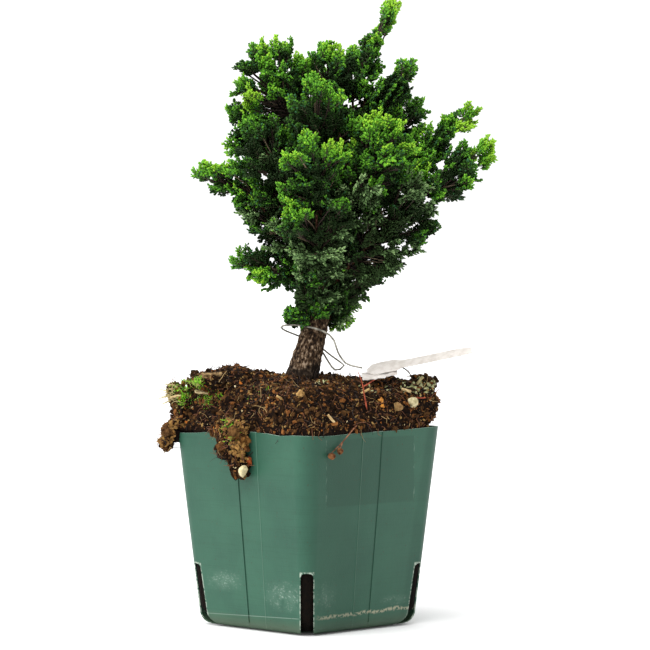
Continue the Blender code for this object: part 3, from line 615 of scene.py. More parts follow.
def grow_leaves(lobes):
    """The lobes, dealt into pieces of one plain colour each by how new they are and by painted light and shade:
    lighter far out and high up, darker deep inside, and a share with a painted reflection of the sky.
    """
    at, way, flat, size, score, mass, old = (np.concatenate(part) for part in zip(*lobes))
    length = (LOBE_LENGTH * size)[:, None]
    kept = keep_own_space(at + way * length, mass) & keep_own_space(at, mass)
    kept &= ~old | (draw.random(len(old)) < OLD_SHARE)
    kept &= ~in_sky_hole(at + way * length * 0.5)
    at, way, flat, length, score, mass, old = (v[kept] for v in (at, way, flat, length, score, mass, old))
    side = unit(np.cross(flat, way))
    flat = np.cross(way, side)
    middle = at + way * length * 0.5
    out = (middle - CROWN_MIDDLE) / CROWN_HALF
    own = depths(middle)[np.arange(len(mass)), mass]
    outer = np.linalg.norm(out, axis=1)
    # Painted shade deep in each mass and towards the crown's middle, painted light towards the crown's top
    score = score + 0.5 * (own - 0.75) + 0.35 * (outer - 0.8) + 0.1 * unit(out)[:, 2]
    frames = (at, side * LOBE_WIDTH, flat * LOBE_THICK, way * length)
    old_class = np.searchsorted(OLD_STEPS, score + 0.1) + len(YOUNG)
    chosen = np.where(old & (score < 0.85), old_class, np.searchsorted(STEPS, score))
    sky_reflection = (draw.random(len(chosen)) < SKY_REFLECTION_SHARE) & (chosen > 0) & (chosen < 4)
    chosen = np.where(sky_reflection, len(YOUNG + OLD), chosen)
    masses = [name for name in NODES if name.startswith("foliage_")]
    template = club()
    most = MOST_TRIANGLES // len(template[1])
    for index, (name, colour) in enumerate(zip((*YOUNG_NAMES, *OLD_NAMES, "sky_reflection"), (*YOUNG, *OLD, SKY_REFLECTION))):
        picked = np.flatnonzero(chosen == index)
        # Scale leaves have a thin wax that dulls them: a soft, low sheen; the painted light and shade come from the
        # pieces' colours
        finish = finish_of("scale_leaf_" + name, colour, 0.62, Specular_IOR_Level=0.14)
        for part in range(0, len(picked), most):
            some = picked[part : part + most]
            suffix = f"_{part // most + 1}" if len(picked) > most else ""
            points, faces = copies(*template, [v[some] for v in frames])
            piece = mesh_piece("leaves_" + name + suffix, points, faces, finish)
            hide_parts(*masses)


def grow_foliage():
    lobes, stalks, routes, route_mass = foliage()
    grow_leaves(lobes)
    roots, ends, mass = (np.concatenate(part) for part in zip(*stalks))
    kept = keep_own_space(ends, mass) & keep_own_space(roots, mass) & ~in_sky_hole(ends) & ~in_sky_hole(roots)
    roots, along = roots[kept], (ends - roots)[kept]
    side = unit(np.cross(along, (0.31, 0.22, 0.9))) * STALK_THICK * MM
    other = unit(np.cross(along, side)) * STALK_THICK * MM
    points, faces = copies(*spindle(), (roots, side, other, along))
    # This year's stalks: smooth green skin, hardly glossier than the leaves
    mesh_piece("stalks", points, faces, finish_of("green_stalk", "#3f4f28", 0.6))
    middles = routes.reshape(-1, 3)
    free = keep_own_space(middles, np.repeat(route_mass, routes.shape[1])) & ~in_sky_hole(middles)
    routes = routes[free.reshape(len(routes), -1)[:, 1:].all(axis=1)]
    radii = np.linspace(*TWIG_RADII, routes.shape[1])[None] * draw.uniform(0.8, 1.25, (len(routes), 1)) * MM
    pale = draw.random(len(routes)) < PALE_TWIGS
    # Twigs of the last years: brown bark, and the pale dry skin of the oldest
    for name, colour, chosen in (("brown", "#2c1d12", ~pale), ("pale", "#6a5b46", pale)):
        finish = finish_of("twig_" + name, colour, 0.8)
        strands("twigs_" + name, routes[chosen], radii[chosen], finish)


# Pot: a square nursery pot, one corner to the front, with a slot at each corner

POT_HEIGHT = 100 * MM
POT_HALF_TOP, POT_HALF_BASE = 50.1 * MM, 40.6 * MM
CORNER_TOP, CORNER_BASE, CORNER_LEAST = 10.5 * MM, 5.5 * MM, 2 * MM
POT_WALL, FOOT_ROUND = 0.65 * MM, 7.6 * MM
CORNER_STEPS, ROUND_STEPS, FACE_CUTS = 8, 6, 8
WALL_LEVELS = (14, 24, 36, 48, 60, 72, 82, 90, 96, 99, 100)
SLOT_WIDTH, SLOT_HEIGHT, SLOT_ROUND = 6.4 * MM, 31.5 * MM, 2.2 * MM
SIDE_SLOT_BACK = -2.9 * MM
# The cutter of the first slot: how long it is, how far out its middle lies, and its lower end
CUTTER_LENGTH, CUTTER_OUT, CUTTER_LOW = 37 * MM, 56 * MM, -5 * MM
# The label's trace: from left to right, and from bottom to top
TRACE_ACROSS, TRACE_UP = (9.6 * MM, 54 * MM), (64 * MM, 97.5 * MM)
# Scuffed places: across, up, half the width and half the height
SCUFFS = (
    (-42 * MM, 24 * MM, 5 * MM, 3 * MM),
    (-11 * MM, 19 * MM, 6 * MM, 4.5 * MM),
    (8.6 * MM, 18.5 * MM, 3.4 * MM, 4.5 * MM),
    (44 * MM, 14 * MM, 4 * MM, 1.5 * MM),
)
# Mould lines from rim to foot: how far from the pot's middle at the rim, half the width, and how deep
MOULD_LINES = (
    (-36.2 * MM, 0.34 * MM, -0.45 * MM),
    (38 * MM, 0.36 * MM, -0.3 * MM),
    (-25.6 * MM, 0.16 * MM, 0.14 * MM),
    (28.2 * MM, 0.18 * MM, 0.16 * MM),
)
# Where the used rim sags or bulges: x, y, how far it is felt, and the way it moves
RIM_DENTS = (
    (-65 * MM, 0, 45 * MM, (0.4 * MM, 0, -1.9 * MM)),
    (65 * MM, 0, 40 * MM, (0.2 * MM, 0, 1.2 * MM)),
    (-35 * MM, -35 * MM, 30 * MM, (0.5 * MM, 0.5 * MM, 0.7 * MM)),
    (33 * MM, -33 * MM, 28 * MM, (-0.5 * MM, 0.5 * MM, 0.3 * MM)),
    (-10 * MM, -58 * MM, 10 * MM, (0, 0, -0.6 * MM)),
    (10 * MM, -60 * MM, 12 * MM, (0, 0.3 * MM, -0.4 * MM)),
    (0, 66 * MM, 30 * MM, (0, -0.4 * MM, 0.8 * MM)),
)


def square_ring(half, corner, z):
    """A rounded square of edges, with its corners to the front, back and sides."""
    nothing_selected()
    bpy.ops.mesh.primitive_plane_add(size=2 * half, location=(0, 0, z), rotation=(0, 0, math.radians(45)))
    ring = bpy.context.object
    bpy.ops.object.mode_set(mode="EDIT")
    bpy.ops.mesh.bevel(offset=corner, segments=CORNER_STEPS, affect="VERTICES")
    bpy.ops.mesh.delete(type="ONLY_FACE")
    pick(ring, "edges", lambda e: e.calc_length() > half)
    bpy.ops.mesh.subdivide(number_cuts=FACE_CUTS)
    bpy.ops.object.mode_set(mode="OBJECT")
    return ring


def pot_share(z):
    return (z - FOOT_ROUND) / (POT_HEIGHT - FOOT_ROUND)


def pot_rings():
    rings = []
    for step in range(ROUND_STEPS + 1):
        turn = math.radians(90 * step / ROUND_STEPS)
        draw_in = FOOT_ROUND * (1 - math.sin(turn))
        corner = max(CORNER_BASE - draw_in, CORNER_LEAST)
        rings.append(square_ring(POT_HALF_BASE - draw_in, corner, FOOT_ROUND * (1 - math.cos(turn))))
    for level in WALL_LEVELS:
        share = pot_share(level * MM)
        half = POT_HALF_BASE + share * (POT_HALF_TOP - POT_HALF_BASE)
        corner = CORNER_BASE + share * (CORNER_TOP - CORNER_BASE)
        rings.append(square_ring(half, corner, level * MM))
    return rings


def slot_cutters():
    """Four round-topped slots, one at each corner, which run on under the foot."""
    nothing_selected()
    place = (CUTTER_OUT, 0, (SLOT_HEIGHT + CUTTER_LOW) / 2)
    size = (CUTTER_LENGTH, SLOT_WIDTH, SLOT_HEIGHT - CUTTER_LOW)
    bpy.ops.mesh.primitive_cube_add(size=1, location=place, scale=size)
    first = bpy.context.object
    bpy.ops.object.transform_apply()
    bpy.ops.object.mode_set(mode="EDIT")
    pick(first, "edges", lambda e: min(v.co.z for v in e.verts) > 0 and e.calc_length() > SLOT_WIDTH * 2)
    bpy.ops.mesh.bevel(offset=SLOT_ROUND, segments=5, affect="EDGES")
    bpy.ops.object.mode_set(mode="OBJECT")
    cutters = [first]
    for quarter in (1, 2, 3):
        copy = first.copy()
        copy.data = first.data.copy()
        copy.data.transform(Matrix.Rotation(math.radians(90 * quarter), 4, "Z"))
        bpy.context.scene.collection.objects.link(copy)
        cutters.append(copy)
    # The slots at the two side corners lie a little to the front of them
    for side in cutters[::2]:
        side.data.transform(Matrix.Translation((0, SIDE_SLOT_BACK, 0)))
    return join(cutters, "slot_cutters")


def mould_lines(pot):
    """Bisects the walls along each mould line and pushes the strip between in or out."""
    shrink = POT_HALF_BASE / POT_HALF_TOP
    for rim, half, depth in MOULD_LINES:
        foot = rim * shrink
        normal = Vector((POT_HEIGHT - FOOT_ROUND, 0, foot - rim)).normalized()
        for side in (-half, half):
            bpy.ops.mesh.select_all(action="SELECT")
            bpy.ops.mesh.bisect(plane_co=(rim + side, 0, POT_HEIGHT), plane_no=normal)

        def inside(face):
            middle = face.calc_center_median()
            on_line = rim + (foot - rim) * (1 - pot_share(middle.z))
            return abs(middle.x - on_line) < half and middle.z > FOOT_ROUND * 0.5

        pick(pot, "faces", inside)
        bpy.ops.mesh.extrude_region_shrink_fatten(TRANSFORM_OT_shrink_fatten={"value": depth})


def warp_rim(pot):
    """The rim of a used pot: it sags at the left corner and bulges a little between the corners."""
    for x, y, reach, shift in RIM_DENTS:

        def near(vert):
            return vert.co.z > POT_HEIGHT - MM and math.hypot(vert.co.x - x, vert.co.y - y) < 5 * MM

        nudge(pot, near, shift, reach)


def pot_plastic():
    """Moulded recycled polypropylene, used: a matt green, faintly mottled, with a rubbed pale rim that bears a
    painted highlight too, rubbed pale slots, scuffs and a line of lime near the foot, the trace of a label on one
    face, painted shade in the grooves and painted highlights on the ridges of the mould lines, and painted shade over
    the right face."""
    made = finish_of("green_polypropylene", "#224736", 0.5, IOR=1.49, Specular_IOR_Level=0.3)
    tree = made.node_tree
    place = add_node(tree, "TexCoord", output="Object")
    x, y, z = add_node(tree, "SeparateXYZ", {"Vector": place}).node.outputs
    cloudy = grain(tree, place, 22 * MM, detail=4)
    colour = add_node(tree, "ValToRGB", {"Fac": cloudy, "stops": ((0.3, "#274f3f"), (0.7, "#2f5a47"))})
    streaks = grain(tree, place, 0.5 * MM, (1, 1, 40), 2)
    colour = layer(tree, colour, "#3a6150", band(tree, streaks, 0.58, 2, 0.06), 0.14)
    level_streaks = grain(tree, place, 0.6 * MM, (40, 40, 1), 2)
    colour = layer(tree, colour, "#183625", band(tree, level_streaks, 0.6, 2, 0.05), 0.12)
    # The trace of a label on the right front face, with a pale broken edge
    on_face = band(tree, y, -1, -10 * MM, MM)
    across, up = band(tree, x, *TRACE_ACROSS, 0.3 * MM), band(tree, z, *TRACE_UP, 0.4 * MM)
    colour = layer(tree, colour, "#1c3e2f", across, up, on_face, 0.5)
    left, right = (band(tree, x, edge - 0.3 * MM, edge + 0.3 * MM, 0.2 * MM) for edge in TRACE_ACROSS)
    edges = add_node(tree, "Math", {"operation": "ADD", 0: left, 1: right})
    broken = band(tree, grain(tree, place, 1.6 * MM, (1, 1, 2.5)), 0.56, 2, 0.03)
    colour = layer(tree, colour, "#7d9485", edges, up, broken, on_face, 0.42)
    # The mould lines: painted shade along the grooves, painted highlights along the ridges
    for rim, half, depth in MOULD_LINES:
        tone, share, wide = ("#13231a", 0.28, 1.3 * half) if depth < 0 else ("#7e9c8b", 0.26, half)
        slope = rim * (1 - POT_HALF_BASE / POT_HALF_TOP) / (POT_HEIGHT - FOOT_ROUND)
        middle = rim - slope * POT_HEIGHT
        along = add_node(tree, "Math", {"operation": "SUBTRACT", 0: x, 1: times(tree, z, slope)})
        colour = layer(tree, colour, tone, band(tree, along, middle - wide, middle + wide, 0.12 * MM), share)
    # Scuffs above the foot, as pale clouds with specks
    scuffs = 0
    for across, up, wide, high in SCUFFS:
        width, height = band(tree, x, across - wide, across + wide, wide), band(tree, z, up - high, up + high, high)
        scuffs = add_node(tree, "Math", {"operation": "MAXIMUM", 0: scuffs, 1: times(tree, width, height)})
    cloud = times(tree, scuffs, band(tree, grain(tree, place, 5 * MM), 0.42, 2, 0.12))
    specks = band(tree, grain(tree, place, 0.9 * MM, (1.6, 1.6, 1), 4), 0.6, 2, 0.04)
    colour = layer(tree, colour, "#8fa898", cloud, 0.2)
    colour = layer(tree, colour, "#b9c6ba", specks, cloud, 0.36)
    # A ragged line of lime on the foot's rounding to the right, a long scratch to the left, and grime at the bottom
    height = swayed(tree, z, grain(tree, place, 7 * MM, detail=4), -4 * MM)
    ragged = band(tree, grain(tree, place, 1.3 * MM), 0.46, 2, 0.04)
    lime = times(tree, band(tree, height, 8.3 * MM, 9.9 * MM, 0.5 * MM), band(tree, x, 6 * MM, 1, 3 * MM), ragged)
    colour = layer(tree, colour, "#b5b095", lime, 0.9)
    slant = add_node(tree, "Math", {"operation": "SUBTRACT", 0: z, 1: times(tree, x, 0.052)})
    scratch = band(tree, slant, 8.75 * MM, 9.05 * MM, 0.15 * MM)
    colour = layer(tree, colour, "#a3b5a7", scratch, band(tree, x, -1, -4 * MM, MM), 0.4)
    colour = layer(tree, colour, "#5b6348", band(tree, z, -1, 5.5 * MM, 3 * MM), 0.4)
    # Painted shade on the right front face, darker than the left, with painted light towards the side corner and the
    # darkest painted shade beside the front corner
    colour = layer(tree, colour, "#16382a", band(tree, x, 0, 1, 4 * MM), band(tree, y, -1, 0, 4 * MM), 0.28)
    colour = layer(tree, colour, "#4a7561", band(tree, x, 45 * MM, 1, 18 * MM), on_face, 0.16)
    colour = layer(tree, colour, "#1b3f2f", band(tree, x, 2 * MM, 26 * MM, 7 * MM), on_face, 0.36)
    # The rubbed edges of the slots, and specks of soil
    from_front = add_node(tree, "Math", {"operation": "ABSOLUTE", 0: x})
    from_side = add_node(tree, "Math", {"operation": "SUBTRACT", 0: y, 1: SIDE_SLOT_BACK})
    from_side = add_node(tree, "Math", {"operation": "ABSOLUTE", 0: from_side})
    beside = add_node(tree, "Math", {"operation": "MINIMUM", 0: from_front, 1: from_side})
    rubbed = band(tree, beside, -1, SLOT_WIDTH / 2 + 0.4 * MM, 0.2 * MM)
    low = band(tree, z, 3 * MM, SLOT_HEIGHT + 0.6 * MM, 0.3 * MM)
    worn = band(tree, grain(tree, place, 1.6 * MM), 0.48, 2, 0.07)
    colour = layer(tree, colour, "#b4bfb0", rubbed, low, worn, 0.7)
    soil_marks = band(tree, grain(tree, place, 1.1 * MM, detail=1), 0.73, 2, 0.01)
    colour = layer(tree, colour, "#3d2f20", soil_marks, 0.5)
    # The lime lies on the wall, and the mould gave it a fine grain and slow dents
    bumps = times(tree, grain(tree, place, 0.7 * MM, detail=2), 0.5)
    for pattern, share in ((cloudy, 3), (lime, 1.5)):
        bumps = add_node(tree, "Math", {"operation": "ADD", 0: bumps, 1: times(tree, pattern, share)})
    return dress(made, colour, bumps, 0.12 * MM)


def build_pot():
    pot = join(pot_rings(), "slit_pot")
    activate(pot)
    bpy.ops.object.transform_apply()
    bpy.ops.object.mode_set(mode="EDIT")
    bpy.ops.mesh.select_all(action="SELECT")
    bpy.ops.mesh.bridge_edge_loops()
    pick(pot, "edges", lambda e: all(v.co.z < 0.01 * MM for v in e.verts))
    bpy.ops.mesh.edge_face_add()
    bpy.ops.mesh.select_all(action="SELECT")
    bpy.ops.mesh.normals_make_consistent(inside=False)
    mould_lines(pot)
    warp_rim(pot)
    bpy.ops.object.mode_set(mode="OBJECT")
    modify(pot, "SOLIDIFY", thickness=POT_WALL, offset=-1)
    cutters = slot_cutters()
    modify(pot, "BOOLEAN", operation="DIFFERENCE", object=cutters)
    bpy.data.objects.remove(cutters)
    modify(pot, "BEVEL", width=0.2 * MM, segments=2, limit_method="ANGLE", angle_limit=math.radians(50))
    # The same plastic on the rim's upward faces: scoured pale and uneven where rubbed, and a painted highlight on top
    worn = earthy("rim_wear_and_highlight", "#6f8f7e", "#a3b8a9", 1.2 * MM, 0.5)
    settle(pot, "slit_pot", [pot_plastic(), worn], ["pot"])
    activate(pot, "EDIT")
    pick(pot, "faces", lambda f: f.normal.z > 0.3 and f.calc_center_median().z > POT_HEIGHT - 5 * MM)
    pot.active_material_index = 1
    bpy.ops.object.material_slot_assign()
    modify(pot, "WEIGHTED_NORMAL", keep_sharp=True)


# Trunk and boughs

BOUGH_SIDES, BOUGH_RINGS = 8, 7
TRUNK_SIDES, TRUNK_RINGS = 16, 24
# The loose bark makes the trunk a little thicker, most of it to the right
BARK_LEAN, BARK_SWELL = 0.7 * MM, 1.06
# The trunk starts this far down in the soil, and its rings lie closer near its foot
TRUNK_SUNK, RINGS_CLOSER = 1.5 * MM, 1.15
TRUNK_BARK = ((0.36, "#120a06"), (0.47, "#37281b"), (0.56, "#5b4836"), (0.7, "#a08c76"))
BOUGH_BARK = ((0.32, "#1d110b"), (0.46, "#40281b"), (0.58, "#5c3e2e"), (0.72, "#7d6552"))


def bark(name, stops, wet_up_to):
    """Thin fibrous bark: long grey-brown flakes with dark cracks between, and darker where the soil keeps it wet."""
    made = finish_of(name, stops[1][1], 0.92, Specular_IOR_Level=0.15)
    tree = made.node_tree
    place = add_node(tree, "TexCoord", output="Object")
    z = add_node(tree, "SeparateXYZ", {"Vector": place}, "Z")
    flakes = grain(tree, place, 1.1 * MM, (1, 1, 1.7), 6)
    patches = grain(tree, place, 6 * MM, (1, 1, 1.4), 2)
    colour = add_node(tree, "ValToRGB", {"Fac": swayed(tree, flakes, patches, 0.25), "stops": stops})
    wet = band(tree, swayed(tree, z, patches, 10 * MM), -1, wet_up_to, 1.6 * MM)
    return dress(made, layer(tree, colour, "#130e0a", wet, 0.82), flakes, 0.8 * MM)


def build_trunk():
    steps = [(i / TRUNK_RINGS) ** RINGS_CLOSER for i in range(TRUNK_RINGS + 1)]
    heights = [TRUNK_FOOT - TRUNK_SUNK + (TRUNK_TIP - TRUNK_FOOT) * step for step in steps]
    path = [Vector(trunk_point(z)) + Vector((BARK_LEAN, 0, 0)) for z in heights]
    trunk = grow_limb(path, [float(trunk_radius(z)) * BARK_SWELL for z in heights], TRUNK_SIDES)
    modify(trunk, "SUBSURF", levels=3)
    nothing_selected()
    # The bark's relief runs up the trunk: an empty stretches its patterns
    bpy.ops.object.empty_add(location=(0, 0, 0))
    stretch = bpy.context.object
    stretch.scale = (1, 1, 2)
    bpy.context.view_layer.update()
    lie = {"texture_coords": "OBJECT", "texture_coords_object": stretch, "mid_level": 0.5}
    plates = noise_texture("bark_plates", "VORONOI", 2.4 * MM)
    fibres = noise_texture("bark_fibres", "CLOUDS", 1.1 * MM, noise_depth=3)
    modify(trunk, "DISPLACE", texture=plates, strength=1.2 * MM, **lie)
    modify(trunk, "DISPLACE", texture=fibres, strength=1.3 * MM, **lie)
    settle(trunk, "bark_trunk", [bark("grey_brown_bark", TRUNK_BARK, 133 * MM)], ["trunk"], 180)
    bpy.data.objects.remove(stretch)


def bough_route(m):
    """From the trunk's middle out to the mass and on as its stem, sagging a little on the way."""
    start, base = Vector(STARTS[m]), Vector(BASES[m])
    end = Vector(CENTRES[m] + AXES[m] * STEM_INTO * HALF_LENGTHS[m])
    middle = (start + base) / 2 - Vector((0, 0, 1)) * BOUGH_SAG * (base - start).length
    path = []
    for i in range(BOUGH_RINGS):
        t = i / (BOUGH_RINGS - 1)
        path.append(start * (1 - t) ** 2 + middle * 2 * t * (1 - t) + base * t * t)
    return path + [base.lerp(end, t) for t in (0.25, 0.5, 0.75, 1)]


def build_boughs():
    limbs = []
    for m, bough in enumerate(ALL_BOUGHS):
        thick = min(BOUGH_RADIUS, 0.6 * float(trunk_radius(bough.leaves * MM)))
        path = bough_route(m)
        radii = [thick + (BOUGH_TIP * 0.6 - thick) * i / (len(path) - 1) for i in range(len(path))]
        limbs.append(grow_limb(path, radii, BOUGH_SIDES))
    boughs = join(limbs, "bough_limbs")
    activate(boughs)
    bpy.ops.object.transform_apply()
    modify(boughs, "SUBSURF", levels=1)
    texture = noise_texture("bough_bark", "CLOUDS", 1.6 * MM)
    modify(boughs, "DISPLACE", texture=texture, strength=0.7 * MM, mid_level=0.5)
    replaced = [name for name in NODES if name.startswith("bough_")]
    settle(boughs, "bough_limbs", [bark("red_brown_bark", BOUGH_BARK, 0)], replaced, 180)


# Root ball

BALL_GRAIN = 1.3 * MM
# Where the ball is pulled in or out: middle, how near, how far the pull is felt, and the pull (mm)
BALL_SHIFTS = (
    ((-70, 0, 106), 6, 12, (2.6, 0, 0)),
    ((67, 0, 107), 6, 12, (-3.2, 0, 0)),
    ((-74, 0, 118), 5, 8, (-1.6, 0, 1)),
    ((-57, 0, 128), 5, 9, (0, 0, -1.8)),
    ((-33, -10, 129), 6, 10, (0, 0, 2.2)),
    ((-16, -10, 127), 5, 9, (0, 0, 2.6)),
    ((9, -10, 127), 4, 8, (0, 0, 1.4)),
    ((48, -4, 124), 6, 10, (0, 0, 1.8)),
    ((55, -8, 122), 6, 12, (0, 0, 1.8)),
    ((62, -2, 119), 6, 10, (3, 0, 1)),
    ((-68, 0, 96), 6, 9, (-2.6, 0, 0)),
)
# Beside the rim's left corner nothing hangs over the wall: what lies below this height, between these x, moves in
OVERHANG_TOP, OVERHANG_FROM, OVERHANG_TO, OVERHANG_IN = 99 * MM, -67.5 * MM, -58 * MM, 4 * MM
# How coarse and how strong the lumps are (mm)
BALL_LUMPS = (("clods", 7, 3.4), ("lumps", 2.6, 2.4))


def pot_wall(z):
    """How far the pot's wall is from its middle at a height."""
    return POT_HALF_BASE + pot_share(z) * (POT_HALF_TOP - POT_HALF_BASE)


def build_root_ball():
    """The solid's root ball, made lumpy where it is clear of the pot."""
    source = NODES["soil"]
    ball = source.copy()
    ball.data = source.data.copy()
    ball.parent = None
    for key in list(ball.keys()):
        del ball[key]
    bpy.context.scene.collection.objects.link(ball)
    activate(ball, "EDIT")
    bpy.ops.mesh.select_all(action="SELECT")
    bpy.ops.mesh.remove_doubles(threshold=0.01 * MM)
    bpy.ops.object.mode_set(mode="OBJECT")
    ball.data.materials.clear()
    modify(ball, "REMESH", mode="VOXEL", voxel_size=BALL_GRAIN)
    free = ball.vertex_groups.new(name="free")
    for v in ball.data.vertices:
        x, y, z = v.co
        across, wall = (abs(x) + abs(y)) / math.sqrt(2), pot_wall(z)
        if z > POT_HEIGHT + 1.5 * MM or across > wall + 0.5 * MM:
            free.add([v.index], min(1, max((z - POT_HEIGHT) / (4 * MM), across > wall + 2 * MM)), "ADD")
    for name, size, strength in BALL_LUMPS:
        texture = noise_texture("peat_" + name, "CLOUDS", size * MM)
        modify(ball, "DISPLACE", texture=texture, strength=strength * MM, mid_level=0.75, vertex_group="free")
    activate(ball, "EDIT")
    for place, near, reach, shift in BALL_SHIFTS:
        middle = Vector(place) * MM
        nudge(ball, lambda v: (v.co - middle).length < near * MM, Vector(shift) * MM, reach * MM)
    pick(ball, "verts", lambda v: v.co.z < OVERHANG_TOP and OVERHANG_FROM < v.co.x < OVERHANG_TO)
    bpy.ops.transform.translate(value=(OVERHANG_IN, 0, 0))
    bpy.ops.object.mode_set(mode="OBJECT")
    # Dark peat, nearly black, and blacker still below 60 mm: partly the peat's own tone, partly painted shade for the
    # soil seen through the pot's slots
    peat = earthy("dark_peat", "#070302", "#1c0f07", 2 * MM, painted_shade_below=60 * MM)
    return settle(ball, "root_ball", [peat], ["soil"], 180)


# Loose things on the root ball: crumbs of peat, fibres, moss and lichen, many of each

# How many, the dark and the light tone, and the smallest and largest across (mm)
CRUMBS = {
    "dark": (2600, "#120903", "#2c1c0d", 0.8, 3.2),
    "brown": (4600, "#2f1d0e", "#563b1f", 0.6, 2.7),
    "russet": (2500, "#5a3518", "#87582d", 0.5, 2.3),
    "tan": (1900, "#6b512f", "#a5844e", 0.4, 1.7),
    "orange": (130, "#9a5420", "#c47a34", 0.7, 1.7),
    "pale": (200, "#a89468", "#d8c79f", 0.4, 1.7),
}
# How many, the colour, shortest and longest, and how thick (mm)
FIBRES = {
    "straw": (330, "#a88b5a", 2, 9, 0.18),
    "rusty": (1500, "#6b3f22", 2, 8, 0.2),
    "dark": (1300, "#22140b", 2, 9, 0.2),
}
# Patches of moss and lichen: where they show from the front (x, z), how far they spread (mm), and how many
MOSS_PATCHES = (
    ((-63, 119), 4.2, 2400),
    ((-57, 121), 3.6, 1500),
    ((-53, 116), 3.2, 900),
    ((-47, 117), 2.5, 160),
    ((-41, 100), 3.0, 1000),
    ((-40, 96), 2.6, 500),
    ((-24, 121), 6.0, 60),
)
LICHEN_PATCHES = (
    ((62, 125), 4.5, 200),
    ((57, 122), 4.0, 90),
    ((45, 124), 7.0, 90),
    ((30, 123), 7.0, 70),
    ((6, 125), 4, 40),
)
# The moss's tips: their colours, and from which to which share of them
MOSSES = (("fresh", "#86c80e", 0, 0.5), ("deep", "#4c8c0c", 0.5, 0.82), ("dry", "#a59a58", 0.82, 1))
# Loose ends that stick out: where they show (x, z), how many at each, their way, how wide they fan, shortest and
# longest, how thick (mm), and their colour
WISPS = {
    "straw_wisps": (((-70, 118), (-68, 116), (-69, 120)), 13, (-1, -0.2, 0.1), 0.45, 4, 8.5, 0.17, "#c0b07c"),
    "moss_wisps": (((-66, 121), (-62, 123), (-58, 124)), 9, (-0.2, -0.2, 1), 0.5, 2, 4.5, 0.15, "#8f9a4c"),
    "soil_hairs": (((-41, 130), (-36, 131), (-31, 131), (-16, 128)), 3, (0.15, -0.1, 1), 0.45, 5, 11, 0.1, "#40301f"),
}
# Lighter crumbs on the clumps that hang over the rim
CLUMP_PATCHES = (((-39, 98), 7.0, 330), ((-33, 88), 4.5, 170), ((-71, 99), 4.0, 130), ((-76, 94), 3.0, 70))
FIBRE_POINTS, LOWEST_FIBRE = 6, 84 * MM


def ball_skin(ball):
    """Middles, normals and areas of the root ball's open triangles."""
    mesh = ball.data
    mesh.calc_loop_triangles()
    places = np.empty(len(mesh.vertices) * 3)
    mesh.vertices.foreach_get("co", places)
    triangles = np.empty(len(mesh.loop_triangles) * 3, int)
    mesh.loop_triangles.foreach_get("vertices", triangles)
    a, b, c = np.moveaxis(places.reshape(-1, 3)[triangles.reshape(-1, 3)], 1, 0)
    cross = np.cross(b - a, c - a)
    middle = (a + b + c) / 3
    outside = (np.abs(middle[:, 0]) + np.abs(middle[:, 1])) / math.sqrt(2) > pot_wall(middle[:, 2]) + 0.6 * MM
    open_air = (middle[:, 2] > POT_HEIGHT + MM) | outside
    return middle[open_air], unit(cross)[open_air], np.linalg.norm(cross, axis=1)[open_air]


def random_frames(normals):
    """For each normal, two directions across it, turned at random."""
    spin = unit(np.cross(normals, unit(draw.normal(0, 1, normals.shape))))
    return spin, np.cross(normals, spin)


def crumb_shape():
    nothing_selected()
    bpy.ops.mesh.primitive_ico_sphere_add(subdivisions=1, radius=0.5)
    obj = bpy.context.object
    points = np.array([v.co for v in obj.data.vertices])
    faces = np.array([tuple(p.vertices) for p in obj.data.polygons])
    bpy.data.objects.remove(obj)
    return points, faces


def lumps(name, at, normals, sizes, finish):
    """Rough little lumps, one at each place, half sunk into what they lie on."""
    points, faces = crumb_shape()
    side, other = random_frames(unit(normals + draw.normal(0, 0.5, normals.shape)))
    up = np.cross(side, other)
    long, thick = draw.uniform(0.8, 2.5, len(at)), draw.uniform(0.45, 1.0, len(at))
    frames = (
        at + normals * (draw.uniform(-0.1, 0.55, len(at)) * sizes)[:, None],
        side * (sizes * long)[:, None],
        other * sizes[:, None],
        up * (sizes * thick)[:, None],
    )
    made, faces = copies(points, faces, frames)
    made += draw.normal(0, 0.14, made.shape) * np.repeat(sizes, len(points))[:, None]
    return mesh_piece(name, made, faces, finish, smooth=False)


def scatter_crumbs(skin):
    middle, normals, area = skin
    for name, (count, dark, light, least, most) in CRUMBS.items():
        chosen = draw.choice(len(middle), count, p=area / area.sum())
        sizes = (least + (most - least) * draw.random(count) ** 2.6) * MM
        lumps("crumbs_" + name, middle[chosen], normals[chosen], sizes, earthy("peat_" + name, dark, light, 2 * MM))


def wander(start, way, length, bend):
    """Paths that set off in a direction and bend at random."""
    paths = [start]
    for _ in range(FIBRE_POINTS - 1):
        way = unit(way + draw.normal(0, bend, way.shape))
        paths.append(paths[-1] + way * (length / (FIBRE_POINTS - 1))[:, None])
    return np.stack(paths, axis=1)


def scatter_fibres(skin):
    """Dry root hairs and straw: matt, and so thin that only their colour shows."""
    middle, normals, area = skin
    for name, (count, colour, least, most, thick) in FIBRES.items():
        chosen = draw.choice(len(middle), count, p=area / area.sum())
        normal = normals[chosen]
        way = unit(random_frames(normal)[0] + normal * draw.uniform(0.1, 0.6, count)[:, None])
        length = draw.uniform(least, most, count) * MM
        paths = wander(middle[chosen] - normal * 0.3 * MM, way, length, 0.35)
        paths[..., 2] = np.maximum(paths[..., 2], LOWEST_FIBRE)
        radii = thick * MM * draw.uniform(0.6, 1.3, (count, 1)) * np.linspace(1, 0.45, FIBRE_POINTS)
        strands("fibres_" + name, paths, radii, finish_of("fibre_" + name, colour, 0.8))


def place_of(x, z, y):
    """The point at depth y that shows at x, z (mm) from the front."""
    share = (y * MM - EYE[1]) / -EYE[1]
    return Vector((EYE[0] + (x * MM - EYE[0]) * share, y * MM, EYE[2] + (z * MM - EYE[2]) * share))


def on_ball(skin, x, z):
    """The root ball's point nearest to the viewer that shows at x, z (mm)."""
    seen_x, seen_z = as_seen(skin[0])
    off = np.hypot(seen_x - x * MM, seen_z - z * MM)
    near = off < max(1.2 * MM, off.min() + 0.4 * MM)
    return Vector(skin[0][near][np.argmin(skin[0][near][:, 1])])


